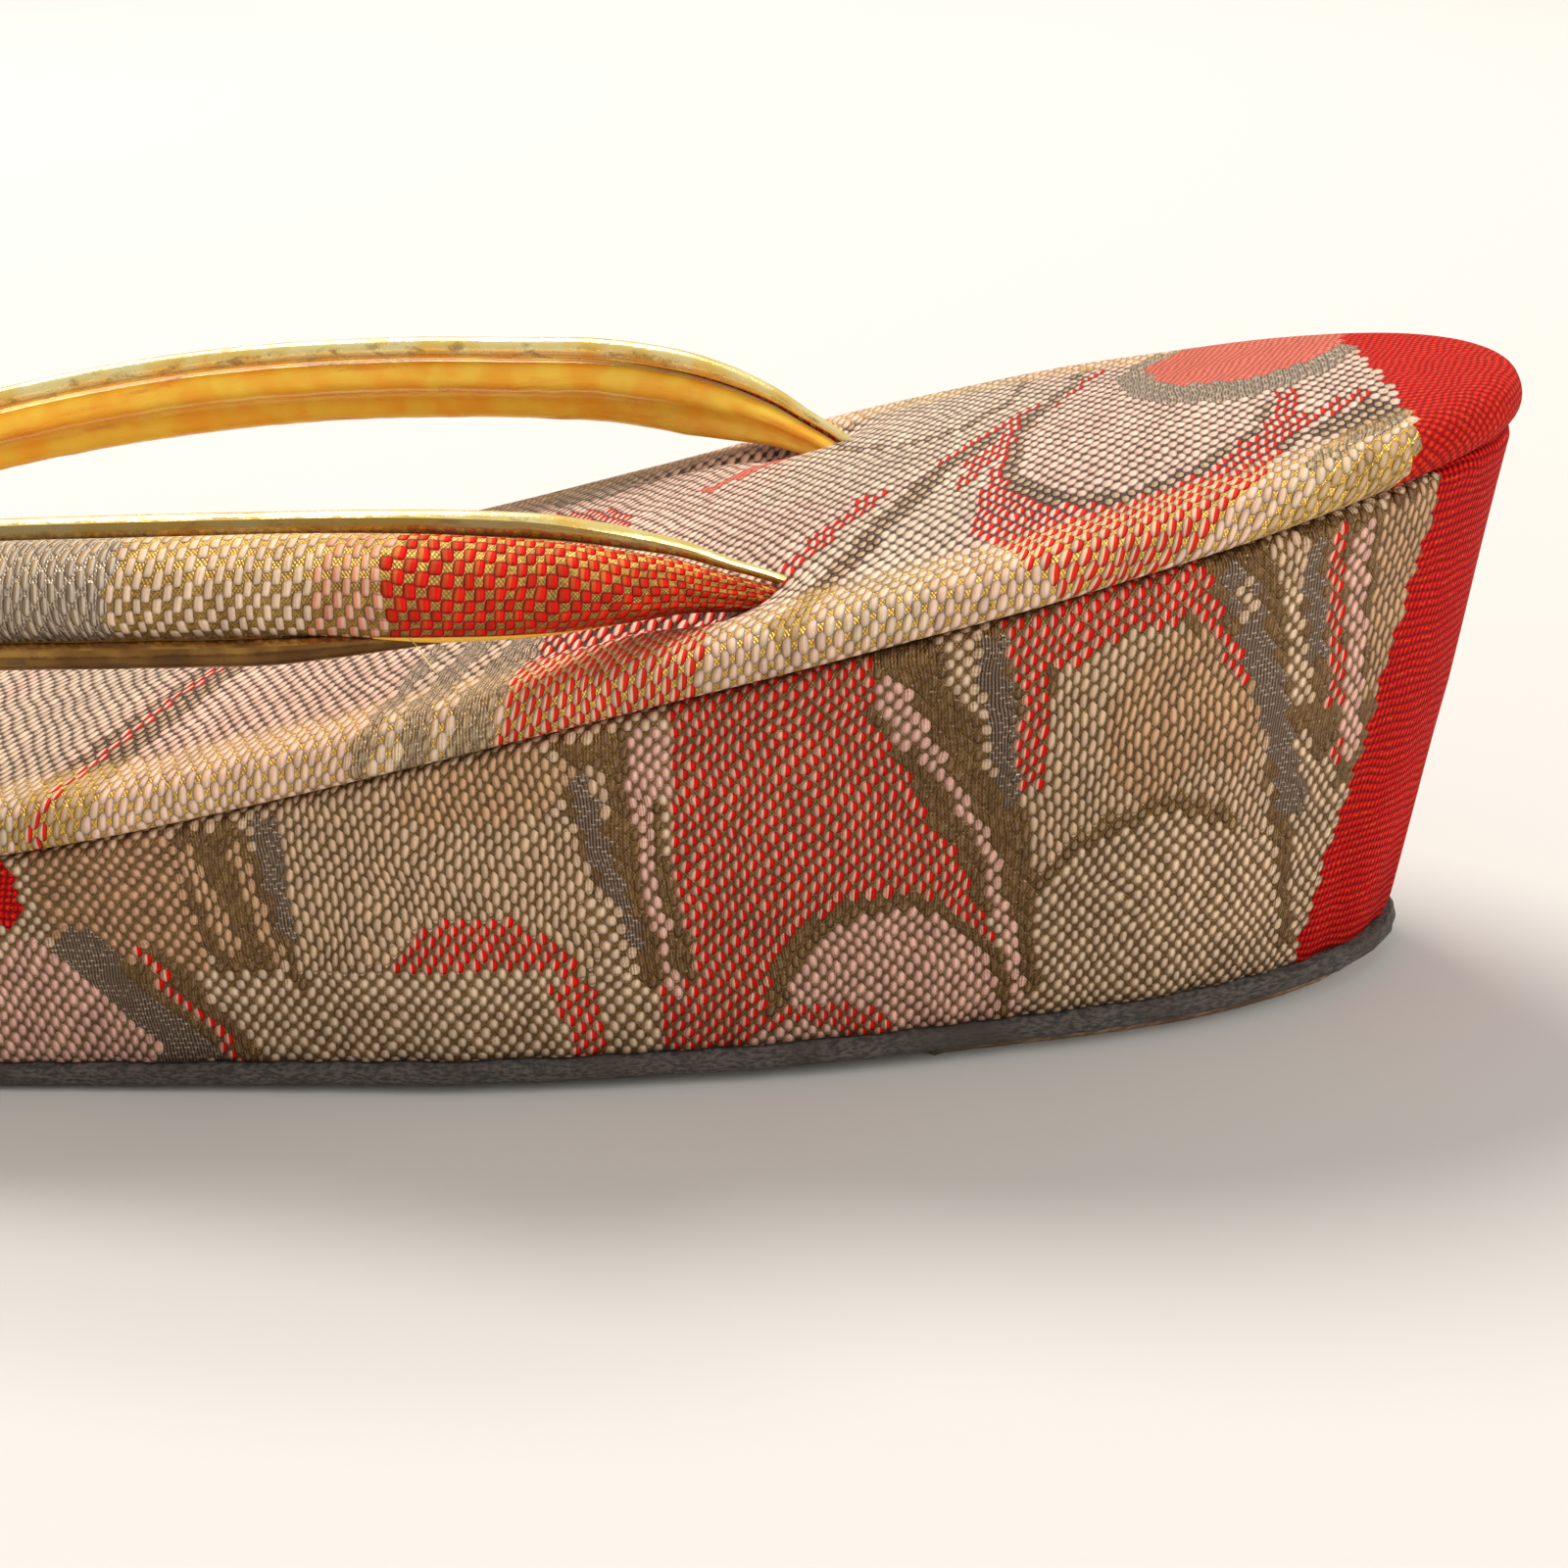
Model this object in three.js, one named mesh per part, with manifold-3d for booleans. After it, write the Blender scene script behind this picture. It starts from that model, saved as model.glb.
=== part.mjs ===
// A cloth-covered wedge sandal of the zori kind, for either foot.
// Its stuffed V strap has gilt piping along both edges and is held down by a loop between the toes.
// Millimetres. +Y points to the toe, +X to the wearer's right and +Z up.
// The origin is on the floor under the middle of the footbed.
import * as THREE from "three";
import { mergeVertices } from "three/addons/utils/BufferGeometryUtils.js";
import Module from "manifold-3d";

const wasm = await Module();
wasm.setup();

// Driving dimensions of the footbed
const LENGTH = 240;
const HEEL_WIDTH = 72;
const BALL_WIDTH = 76;
const HEEL_CURVE = 68;
const TOE_CURVE = 76;
const HEEL_HEIGHT = 57;
const BOARD_THICKNESS = 4.6;
const BOARD_CROWN = 0.9;
const RIM_ROLL = 2.6;

// Driving dimensions of the wedge under it
const BOARD_OVERHANG = 0.8;
const HEEL_TUCK = 8.4;
const SIDE_TUCK = 2.1;
const TOE_TUCK = 6;
const CLOTH_FOLD = 1.4;

// Driving dimensions of the outsole and heel lift
const OUTSOLE_THICKNESS = 1.8;
const OUTSOLE_LIP = 0.7;
const TOE_SPRING = 3;
const LIFT_THICKNESS = 1.8;
const LIFT_LENGTH = 40;
const LIFT_INSET = 2.2;

// Driving dimensions of the strap, over its piping
const STRAP_WIDTH = 13.3;
const STRAP_SPREAD = 71.6;
const STRAP_RISE = 19.6;
const FACE_BULGE = 4.2;
const LINING_DEPTH = 3.4;
const LINING_GROOVE = 0.45;
const PIPING_DIAMETER = 2.1;

// Driving dimensions of the toe loop
const LOOP_WIDTH = 7;
const LOOP_THICKNESS = 2.2;
const LOOP_BEVEL = 0.7;
const LOOP_STEM_DEPTH = 8;

// Clearances, and how square the corners of the strap's room are (1 is an ellipse)
const CONTACT_GAP = 0.3;
const HOLE_CLEARANCE = 0.5;
const ROOM_SQUARENESS = 0.72;

// Mesh fineness
const CURVE_STEPS = 15;
const SIDE_STEPS = 12;
const CROWN_STEPS = 4;
const STRAP_STEPS = 84;
const FACE_ARC_STEPS = 8;
const LINING_ARC_STEPS = 8;
const PIPING_SIDES = 8;
const ROUND_SIDES = 28;
const PART_STEPS = 16;
const POCKET_SIDES = 12;

// Footbed height along its length: at is a share of LENGTH from the heel, height a share of HEEL_HEIGHT.
const BOARD_PROFILE = [
  { at: 0, height: 0.988 },
  { at: 0.125, height: 0.896 },
  { at: 0.25, height: 0.782 },
  { at: 0.375, height: 0.65 },
  { at: 0.5, height: 0.532 },
  { at: 0.625, height: 0.451 },
  { at: 0.75, height: 0.407 },
  { at: 0.875, height: 0.41 },
  { at: 1, height: 0.454 },
];

// Rolled rim of the footbed, underside first: inset is a share of RIM_ROLL, drop a share of BOARD_THICKNESS.
const RIM = [
  { inset: 0.75, drop: 1 },
  { inset: 0.22, drop: 0.93 },
  { inset: 0, drop: 0.72 },
  { inset: 0.05, drop: 0.44 },
  { inset: 0.34, drop: 0.17 },
  { inset: 0.95, drop: 0.03 },
  { inset: 2.2, drop: 0 },
];

// Wall of the wedge, base first: rise is a share of its height, tuck a share of the tuck at the base,
// fold a share of CLOTH_FOLD, both inward and down from the top edge.
const WALL = [
  { rise: 0, tuck: 1, fold: 0, down: 0 },
  { rise: 0.5, tuck: 0.48, fold: 0, down: 0 },
  { rise: 1, tuck: 0, fold: 0, down: 1 },
  { rise: 1, tuck: 0, fold: 0.3, down: 0.3 },
  { rise: 1, tuck: 0, fold: 1, down: 0 },
];

// Where the underside comes down to the floor, where it springs up to the toe, and where the tuck of the
// wall eases, as shares of LENGTH from the heel.
const SOLE_LINE = { downAt: 0.76, springFrom: 0.86, tuckStart: 0.15, tuckEnd: 0.4 };

// Strap from its rear hole to the toe loop: at is a share of LENGTH from the heel, side a share of the
// strap's half spread, rise a share of STRAP_RISE above the footbed, width and thick shares of the full
// section, and tilt the degrees that its face leans back from upright.
const STRAP_ROUTE = [
  { at: 0.2354, side: 0.545, rise: -0.378, width: 0.3, thick: 0.42, tilt: 8 },
  { at: 0.25, side: 0.598, rise: -0.214, width: 0.3, thick: 0.42, tilt: 8 },
  { at: 0.2667, side: 0.656, rise: -0.046, width: 0.31, thick: 0.43, tilt: 11 },
  { at: 0.2792, side: 0.701, rise: 0.046, width: 0.4, thick: 0.52, tilt: 14 },
  { at: 0.2917, side: 0.746, rise: 0.133, width: 0.53, thick: 0.66, tilt: 17 },
  { at: 0.3083, side: 0.807, rise: 0.224, width: 0.69, thick: 0.84, tilt: 22 },
  { at: 0.3333, side: 0.88, rise: 0.347, width: 0.88, thick: 0.98, tilt: 30 },
  { at: 0.3667, side: 0.95, rise: 0.495, width: 0.98, thick: 1, tilt: 38 },
  { at: 0.4083, side: 0.978, rise: 0.638, width: 1, thick: 1, tilt: 42 },
  { at: 0.4583, side: 1, rise: 0.786, width: 1, thick: 1, tilt: 42 },
  { at: 0.5208, side: 0.992, rise: 0.923, width: 1, thick: 1, tilt: 42 },
  { at: 0.5833, side: 0.944, rise: 0.995, width: 1, thick: 1, tilt: 42 },
  { at: 0.6542, side: 0.821, rise: 1, width: 1, thick: 1, tilt: 45 },
  { at: 0.7125, side: 0.648, rise: 0.939, width: 0.97, thick: 1, tilt: 48 },
  { at: 0.7625, side: 0.425, rise: 0.827, width: 0.9, thick: 0.98, tilt: 53 },
  { at: 0.7937, side: 0.218, rise: 0.724, width: 0.8, thick: 0.94, tilt: 58 },
  { at: 0.8063, side: 0, rise: 0.684, width: 0.74, thick: 0.9, tilt: 60 },
];
const ROOT_ROWS = 6;

// Sizes worked out from the driving dimensions
const HEEL_RAISE = LIFT_THICKNESS + CONTACT_GAP;
const PIPING_RADIUS = PIPING_DIAMETER / 2;
const FACE_HALF = STRAP_WIDTH / 2 - PIPING_DIAMETER - CONTACT_GAP;

// Plain helpers
const clamp01 = (value) => Math.min(Math.max(value, 0), 1);

function smoothStep(start, end, value) {
  const t = clamp01((value - start) / (end - start));
  return t * t * (3 - 2 * t);
}

// Reads a column of a table at a place between its rows, on a smooth curve through them.
function readBetween(rows, column, index) {
  const last = rows.length - 1;
  const low = Math.min(Math.max(Math.floor(index), 0), last - 1);
  const t = index - low;
  const value = (k) => rows[Math.min(Math.max(k, 0), last)][column];
  const slope = (k) => (value(k + 1) - value(k - 1)) / 2;
  const t2 = t * t;
  const t3 = t2 * t;
  return (
    value(low) * (2 * t3 - 3 * t2 + 1) +
    slope(low) * (t3 - 2 * t2 + t) +
    value(low + 1) * (3 * t2 - 2 * t3) +
    slope(low + 1) * (t3 - t2)
  );
}

// Distance from the heel end for a lengthwise place, and back.
const fromHeel = (y) => y + LENGTH / 2;
const toFrame = (distance) => distance - LENGTH / 2;

// Heights of the surfaces at a lengthwise place
function boardTop(y) {
  const share = clamp01(fromHeel(y) / LENGTH);
  return HEEL_HEIGHT * readBetween(BOARD_PROFILE, "height", share * (BOARD_PROFILE.length - 1));
}

function soleUnderside(y) {
  const share = fromHeel(y) / LENGTH;
  const spring = clamp01((share - SOLE_LINE.springFrom) / (1 - SOLE_LINE.springFrom));
  return HEEL_RAISE * (1 - clamp01(share / SOLE_LINE.downAt)) + TOE_SPRING * spring * spring;
}

const wedgeBase = (y) => soleUnderside(y) + OUTSOLE_THICKNESS + CONTACT_GAP;
const wedgeTop = (y) => boardTop(y) - BOARD_THICKNESS - CONTACT_GAP;

// How far the base of the wall is drawn in from its top.
function tuckAt(y) {
  const share = fromHeel(y) / LENGTH;
  const side = smoothStep(SOLE_LINE.tuckStart, SOLE_LINE.tuckEnd, share);
  const toe = smoothStep(1 - TOE_CURVE / LENGTH, 1, share);
  return HEEL_TUCK + (SIDE_TUCK - HEEL_TUCK) * side + (TOE_TUCK - SIDE_TUCK) * toe;
}

// Right half of the footbed's outline from the heel end to the toe end, as points and outward normals.
function rightOutline() {
  const sideEnd = LENGTH - TOE_CURVE;
  const halfWidth = (distance) =>
    (HEEL_WIDTH + (BALL_WIDTH - HEEL_WIDTH) * smoothStep(HEEL_CURVE, sideEnd, distance)) / 2;
  const points = [];
  for (let i = 0; i < CURVE_STEPS; i += 1) {
    const turn = (i / CURVE_STEPS) * (Math.PI / 2);
    points.push(new THREE.Vector2(halfWidth(0) * Math.sin(turn), HEEL_CURVE * (1 - Math.cos(turn))));
  }
  for (let i = 0; i <= SIDE_STEPS; i += 1) {
    const distance = HEEL_CURVE + (i / SIDE_STEPS) * (sideEnd - HEEL_CURVE);
    points.push(new THREE.Vector2(halfWidth(distance), distance));
  }
  for (let i = CURVE_STEPS - 1; i >= 0; i -= 1) {
    const turn = (i / CURVE_STEPS) * (Math.PI / 2);
    points.push(new THREE.Vector2(halfWidth(LENGTH) * Math.sin(turn), LENGTH - TOE_CURVE * (1 - Math.cos(turn))));
  }
  return points.map((point, i) => {
    const before = points[i - 1] ?? new THREE.Vector2(-points[1].x, points[1].y);
    const after = points[i + 1] ?? new THREE.Vector2(-points[i - 1].x, points[i - 1].y);
    const normal = new THREE.Vector2(after.y - before.y, before.x - after.x).normalize();
    return { x: point.x, y: toFrame(point.y), normal };
  });
}

const OUTLINE = rightOutline();

// A ring round the whole outline, drawn in by inset(y) and lifted to height(y), counterclockwise from the heel.
function ring(inset, height) {
  const right = OUTLINE.map((station) => {
    const amount = inset(station.y);
    const x = Math.max(station.x - amount * station.normal.x, 0);
    const y = station.y - amount * station.normal.y;
    return new THREE.Vector3(x, y, height(y));
  });
  right[0].x = 0;
  right[right.length - 1].x = 0;
  const left = right.slice(1, -1).reverse().map((point) => new THREE.Vector3(-point.x, point.y, point.z));
  return [...right, ...left];
}

// A closed skin through rings from the lowest to the highest. The top may be crowned.
function shell(rings, crown = 0) {
  const points = rings.flat();
  const count = rings[0].length;
  const toe = count / 2;
  const faces = [];
  for (let level = 0; level < rings.length - 1; level += 1) {
    for (let j = 0; j < count; j += 1) {
      const a = level * count + j;
      const b = level * count + ((j + 1) % count);
      faces.push([a, b, b + count], [a, b + count, a + count]);
    }
  }
  const topStart = (rings.length - 1) * count;
  const across = crown > 0 ? CROWN_STEPS : 1;
  const rowOf = (start, station, steps) => {
    const left = start + count - station;
    const right = start + station;
    const row = [left];
    for (let m = 1; m < steps; m += 1) {
      const share = m / steps;
      const point = points[left].clone().lerp(points[right], share);
      const fade = smoothStep(0, 1, Math.min(station, toe - station) / CURVE_STEPS);
      point.z += crown * fade * 4 * share * (1 - share);
      row.push(points.length);
      points.push(point);
    }
    row.push(right);
    return row;
  };
  const cover = (start, steps, facesUp) => {
    const add = (a, b, c) => faces.push(facesUp ? [a, b, c] : [a, c, b]);
    let before = rowOf(start, 1, steps);
    for (let m = 0; m < steps; m += 1) add(start, before[m + 1], before[m]);
    for (let station = 2; station < toe; station += 1) {
      const row = rowOf(start, station, steps);
      for (let m = 0; m < steps; m += 1) {
        add(before[m], before[m + 1], row[m + 1]);
        add(before[m], row[m + 1], row[m]);
      }
      before = row;
    }
    for (let m = 0; m < steps; m += 1) add(before[m], before[m + 1], start + toe);
  };
  cover(0, 1, false);
  cover(topStart, across, true);
  return meshOf(points, faces);
}

function meshOf(points, faces) {
  const geometry = new THREE.BufferGeometry();
  geometry.setAttribute("position", new THREE.Float32BufferAttribute(points.flatMap((p) => [p.x, p.y, p.z]), 3));
  geometry.setIndex(faces.flat());
  return geometry;
}

// Solids for cutting and joining
function solidOf(geometry) {
  const bare = geometry.clone();
  bare.deleteAttribute("normal");
  bare.deleteAttribute("uv");
  const merged = mergeVertices(bare, 1e-4);
  const mesh = new wasm.Mesh({
    numProp: 3,
    vertProperties: new Float32Array(merged.attributes.position.array),
    triVerts: new Uint32Array(merged.index.array),
  });
  return new wasm.Manifold(mesh);
}

function geometryOf(solid) {
  const mesh = solid.getMesh();
  const geometry = new THREE.BufferGeometry();
  geometry.setAttribute("position", new THREE.BufferAttribute(new Float32Array(mesh.vertProperties), 3));
  geometry.setIndex(new THREE.BufferAttribute(new Uint32Array(mesh.triVerts), 1));
  return geometry;
}

// The strap's centre line, from the left hole round the toe loop to the right hole
const STRAP_ROWS = [...STRAP_ROUTE.map((row) => ({ ...row, side: -row.side })), ...STRAP_ROUTE.slice(0, -1).reverse()];
const LAST_ROW = STRAP_ROWS.length - 1;
const STRAP_PATH = new THREE.CatmullRomCurve3(
  STRAP_ROWS.map((row) => {
    const y = toFrame(row.at * LENGTH);
    return new THREE.Vector3((row.side * STRAP_SPREAD) / 2, y, boardTop(y) + row.rise * STRAP_RISE);
  }),
);

// Place, frame and size of the strap at one row of its route: outward across its face, up across its width.
function strapStation(row) {
  const t = row / LAST_ROW;
  const along = STRAP_PATH.getTangent(t);
  const level = new THREE.Vector3(-along.y, along.x, 0).normalize();
  const upright = along.clone().cross(level);
  const tilt = THREE.MathUtils.degToRad(readBetween(STRAP_ROWS, "tilt", row));
  return {
    centre: STRAP_PATH.getPoint(t),
    outward: level.clone().multiplyScalar(Math.cos(tilt)).addScaledVector(upright, Math.sin(tilt)),
    upward: upright.clone().multiplyScalar(Math.cos(tilt)).addScaledVector(level, -Math.sin(tilt)),
    width: readBetween(STRAP_ROWS, "width", row),
    thick: readBetween(STRAP_ROWS, "thick", row),
  };
}

// Rows of the route at even steps along the whole strap, and at even steps over a part of the table.
const WHOLE_STRAP = Array.from({ length: STRAP_STEPS + 1 }, (_, i) => (
  STRAP_PATH.getUtoTmapping(i / STRAP_STEPS) * LAST_ROW
));
const rowsBetween = (first, last) => (
  Array.from({ length: PART_STEPS + 1 }, (_, i) => first + (i / PART_STEPS) * (last - first))
);

// Sweeps section(station), a counterclockwise loop of [outward, upward] pairs, through rows of the route.
function strapSweep(section, rows) {
  const steps = rows.length - 1;
  const points = [];
  const faces = [];
  let sides = 0;
  for (const row of rows) {
    const station = strapStation(row);
    const loop = section(station);
    sides = loop.length;
    for (const [out, up] of loop) {
      points.push(station.centre.clone().addScaledVector(station.outward, out).addScaledVector(station.upward, up));
    }
  }
  for (let i = 0; i < steps; i += 1) {
    for (let j = 0; j < sides; j += 1) {
      const a = i * sides + j;
      const b = i * sides + ((j + 1) % sides);
      faces.push([a, b, b + sides], [a, b + sides, a + sides]);
    }
  }
  for (const start of [0, steps * sides]) {
    const middle = points.length;
    const centre = new THREE.Vector3();
    for (let j = 0; j < sides; j += 1) centre.addScaledVector(points[start + j], 1 / sides);
    points.push(centre);
    for (let j = 0; j < sides; j += 1) {
      const a = start + j;
      const b = start + ((j + 1) % sides);
      faces.push(start === 0 ? [middle, b, a] : [middle, a, b]);
    }
  }
  return meshOf(points, faces);
}

// Cross-sections of the strap's pieces
const halfFace = (station) => FACE_HALF * station.width;
const pipingRadius = (station) => PIPING_RADIUS * station.thick;
const pipingCentre = (station) => halfFace(station) + CONTACT_GAP + pipingRadius(station);

function faceSection(station) {
  const loop = [];
  for (let k = 0; k <= FACE_ARC_STEPS; k += 1) {
    const turn = (k / FACE_ARC_STEPS - 0.5) * Math.PI;
    const out = CONTACT_GAP / 2 + FACE_BULGE * station.thick * Math.cos(turn) ** 0.8;
    loop.push([k % FACE_ARC_STEPS ? out : CONTACT_GAP / 2, halfFace(station) * Math.sin(turn)]);
  }
  return loop;
}

function liningSection(station) {
  const loop = [];
  for (let k = 0; k <= LINING_ARC_STEPS; k += 1) {
    const turn = (k / LINING_ARC_STEPS - 0.5) * Math.PI;
    const lobes = Math.cos(turn) ** 0.6 * (1 - LINING_GROOVE * Math.cos(turn) ** 8);
    const depth = k % LINING_ARC_STEPS ? LINING_DEPTH * station.thick * lobes : 0;
    loop.push([-CONTACT_GAP / 2 - depth, -halfFace(station) * Math.sin(turn)]);
  }
  return loop;
}

const pipingSection = (side) => (station) => {
  const loop = [];
  for (let k = 0; k < PIPING_SIDES; k += 1) {
    const turn = ((k + 0.5) / PIPING_SIDES) * 2 * Math.PI;
    const radius = pipingRadius(station);
    loop.push([radius * Math.cos(turn), side * pipingCentre(station) + radius * Math.sin(turn)]);
  }
  return loop;
};

// The room that the strap needs all round, for its holes and for the toe loop: an oval with full corners.
function strapRoom(station, clearance) {
  return {
    middle: ((FACE_BULGE - LINING_DEPTH) / 2) * station.thick,
    out: ((FACE_BULGE + LINING_DEPTH) / 2) * station.thick + clearance,
    up: pipingCentre(station) + pipingRadius(station) + clearance,
  };
}

function roomLoop(room) {
  const fuller = (value) => Math.sign(value) * Math.abs(value) ** ROOM_SQUARENESS;
  const loop = [];
  for (let k = 0; k < ROUND_SIDES; k += 1) {
    const turn = (k / ROUND_SIDES) * 2 * Math.PI;
    loop.push([
      room.middle + room.out * fuller(Math.cos(turn)),
      room.up * fuller(Math.sin(turn)),
    ]);
  }
  return loop;
}

const roomSection = (clearance) => (station) => roomLoop(strapRoom(station, clearance));

// Toe loop: a ring round the strap's bend on a stem that stands in the front hole
const APEX_ROW = STRAP_ROUTE.length - 1;
const STEM_LENGTHWISE = 2 * LOOP_THICKNESS + CONTACT_GAP;

// The strap's room at its bend, grown by the loop's thickness and extruded evenly across the centre line.
function loopBody() {
  const apex = strapStation(APEX_ROW);
  const points = roomLoop(strapRoom(apex, CONTACT_GAP + LOOP_THICKNESS)).map(([out, up]) => {
    const point = apex.centre.clone().addScaledVector(apex.outward, out).addScaledVector(apex.upward, up);
    return new THREE.Vector2(point.y, point.z);
  });
  const geometry = new THREE.ExtrudeGeometry(new THREE.Shape(points), {
    depth: LOOP_WIDTH - 2 * LOOP_BEVEL,
    bevelThickness: LOOP_BEVEL,
    bevelSize: LOOP_BEVEL,
    bevelOffset: -LOOP_BEVEL,
    bevelSegments: 1,
  });
  const turned = new THREE.Matrix4().makeBasis(
    new THREE.Vector3(0, 1, 0),
    new THREE.Vector3(0, 0, 1),
    new THREE.Vector3(1, 0, 0),
  );
  return solidOf(geometry.translate(0, 0, LOOP_BEVEL - LOOP_WIDTH / 2).applyMatrix4(turned));
}

function box(low, high) {
  const size = high.clone().sub(low);
  return new THREE.BoxGeometry(size.x, size.y, size.z).translate(...low.clone().add(high).multiplyScalar(0.5).toArray());
}

// The loop's stem, which stands in the front hole, grown by a clearance.
function stem(clearance) {
  const middle = strapStation(APEX_ROW).centre;
  const across = LOOP_WIDTH / 2 + clearance;
  const lengthwise = STEM_LENGTHWISE / 2 + clearance;
  const foot = boardTop(middle.y) - LOOP_STEM_DEPTH - 2 * clearance;
  return solidOf(box(
    new THREE.Vector3(-across, middle.y - lengthwise, foot),
    new THREE.Vector3(across, middle.y + lengthwise, middle.z),
  ));
}

function toeLoop() {
  const strapAtBend = solidOf(strapSweep(roomSection(CONTACT_GAP), rowsBetween(APEX_ROW - 1, APEX_ROW + 1)));
  return loopBody().add(stem(0)).subtract(strapAtBend);
}

// Cutters for the three holes, which go through the footbed and on into blind pockets of the wedge
function holeCutters() {
  const cutters = [stem(HOLE_CLEARANCE)];
  for (const [first, last, end] of [[0, ROOT_ROWS, 0], [LAST_ROW - ROOT_ROWS, LAST_ROW, LAST_ROW]]) {
    cutters.push(solidOf(strapSweep(roomSection(HOLE_CLEARANCE), rowsBetween(first, last))));
    const station = strapStation(end);
    const pocket = new THREE.SphereGeometry(strapRoom(station, HOLE_CLEARANCE).up, POCKET_SIDES, POCKET_SIDES / 2);
    cutters.push(solidOf(pocket.translate(...station.centre.toArray())));
  }
  return cutters;
}

const CUTTERS = holeCutters();
const drilled = (geometry) => geometryOf(CUTTERS.reduce((left, cutter) => left.subtract(cutter), solidOf(geometry)));

// The pieces
function footbed() {
  const rings = RIM.map((row) => ring(() => row.inset * RIM_ROLL, (y) => boardTop(y) - row.drop * BOARD_THICKNESS));
  return drilled(shell(rings, BOARD_CROWN));
}

function wedge() {
  const rings = WALL.map((row) =>
    ring(
      (y) => BOARD_OVERHANG + row.tuck * tuckAt(y) + row.fold * CLOTH_FOLD,
      (y) => wedgeBase(y) + row.rise * (wedgeTop(y) - wedgeBase(y)) - row.down * CLOTH_FOLD,
    ),
  );
  return drilled(shell(rings));
}

const outsoleInset = (y) => BOARD_OVERHANG + tuckAt(y) - OUTSOLE_LIP;

function outsole() {
  return shell([
    ring(outsoleInset, soleUnderside),
    ring(outsoleInset, (y) => soleUnderside(y) + OUTSOLE_THICKNESS),
  ]);
}

function heelLift() {
  const inset = (y) => outsoleInset(y) + LIFT_INSET;
  const whole = solidOf(shell([ring(inset, () => 0), ring(inset, (y) => soleUnderside(y) - CONTACT_GAP)]));
  const heelEnd = toFrame(HEEL_TUCK + BOARD_OVERHANG - OUTSOLE_LIP + LIFT_INSET);
  const keep = box(
    new THREE.Vector3(-BALL_WIDTH, heelEnd - LIFT_INSET, -LIFT_THICKNESS),
    new THREE.Vector3(BALL_WIDTH, heelEnd + LIFT_LENGTH, 2 * LIFT_THICKNESS),
  );
  return geometryOf(whole.intersect(solidOf(keep)));
}

const strapPiece = (section) => strapSweep(section, WHOLE_STRAP);

// Finishes
const brocade = new THREE.MeshStandardMaterial({ color: 0xc4a08c, roughness: 0.6, metalness: 0.1 });
const gilt = new THREE.MeshStandardMaterial({ color: 0xd8a53c, roughness: 0.25, metalness: 0.9 });
const soleLeather = new THREE.MeshStandardMaterial({ color: 0x5b5048, roughness: 0.85, metalness: 0 });
const liftLeather = new THREE.MeshStandardMaterial({ color: 0x8d6a4b, roughness: 0.8, metalness: 0 });

function piece(name, geometry, material) {
  geometry.computeVertexNormals();
  const mesh = new THREE.Mesh(geometry, material);
  mesh.name = name;
  return mesh;
}

const sandal = new THREE.Group();
sandal.add(
  piece("outsole", outsole(), soleLeather),
  piece("heel_lift", heelLift(), liftLeather),
  piece("wedge_midsole", wedge(), brocade),
  piece("footbed", footbed(), brocade),
  piece("strap_face", strapPiece(faceSection), brocade),
  piece("strap_lining", strapPiece(liningSection), gilt),
  piece("piping_upper", strapPiece(pipingSection(1)), gilt),
  piece("piping_lower", strapPiece(pipingSection(-1)), gilt),
  piece("toe_loop", geometryOf(toeLoop()), brocade),
);

export default sandal;
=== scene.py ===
# Looks of a cloth-covered wedge sandal with a stuffed strap, gilt piping and a toe loop.
# Sizes are in millimetres until a point is placed, and the frame is the part's own.
from collections import namedtuple
from functools import lru_cache

import bmesh
import bpy
import numpy as np
from mathutils import Matrix, Vector, noise


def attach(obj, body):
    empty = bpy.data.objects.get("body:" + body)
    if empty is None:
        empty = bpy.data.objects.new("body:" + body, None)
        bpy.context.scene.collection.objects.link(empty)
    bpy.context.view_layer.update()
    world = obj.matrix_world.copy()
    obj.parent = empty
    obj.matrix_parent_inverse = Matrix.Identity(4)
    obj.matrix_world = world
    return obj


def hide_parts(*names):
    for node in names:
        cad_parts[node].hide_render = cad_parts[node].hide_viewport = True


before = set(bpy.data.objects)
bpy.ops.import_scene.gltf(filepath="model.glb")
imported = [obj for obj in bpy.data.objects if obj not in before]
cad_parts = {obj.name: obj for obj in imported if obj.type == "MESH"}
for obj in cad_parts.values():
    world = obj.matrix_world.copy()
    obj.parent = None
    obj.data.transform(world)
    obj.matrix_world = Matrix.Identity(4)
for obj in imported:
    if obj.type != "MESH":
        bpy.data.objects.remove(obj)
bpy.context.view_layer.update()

MM = 0.001

# Driving dimensions, as in the part's source
LENGTH = 240.0
HEEL_WIDTH = 72.0
BALL_WIDTH = 76.0
HEEL_CURVE = 68.0
TOE_CURVE = 76.0
HEEL_HEIGHT = 57.0
BOARD_THICKNESS = 4.6
BOARD_CROWN = 0.9
RIM_ROLL = 2.6
BOARD_OVERHANG = 0.8
HEEL_TUCK = 8.4
SIDE_TUCK = 2.1
TOE_TUCK = 6.0
CLOTH_FOLD = 1.4
OUTSOLE_THICKNESS = 1.8
OUTSOLE_LIP = 0.7
TOE_SPRING = 3.0
LIFT_THICKNESS = 1.8
LIFT_LENGTH = 40.0
LIFT_INSET = 2.2
STRAP_WIDTH = 13.3
STRAP_SPREAD = 71.6
STRAP_RISE = 19.6
FACE_BULGE = 4.2
LINING_DEPTH = 3.4
LINING_GROOVE = 0.45
PIPING_DIAMETER = 2.1
LOOP_WIDTH = 7.0
LOOP_THICKNESS = 2.2
LOOP_STEM_DEPTH = 8.0
CONTACT_GAP = 0.3

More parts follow.
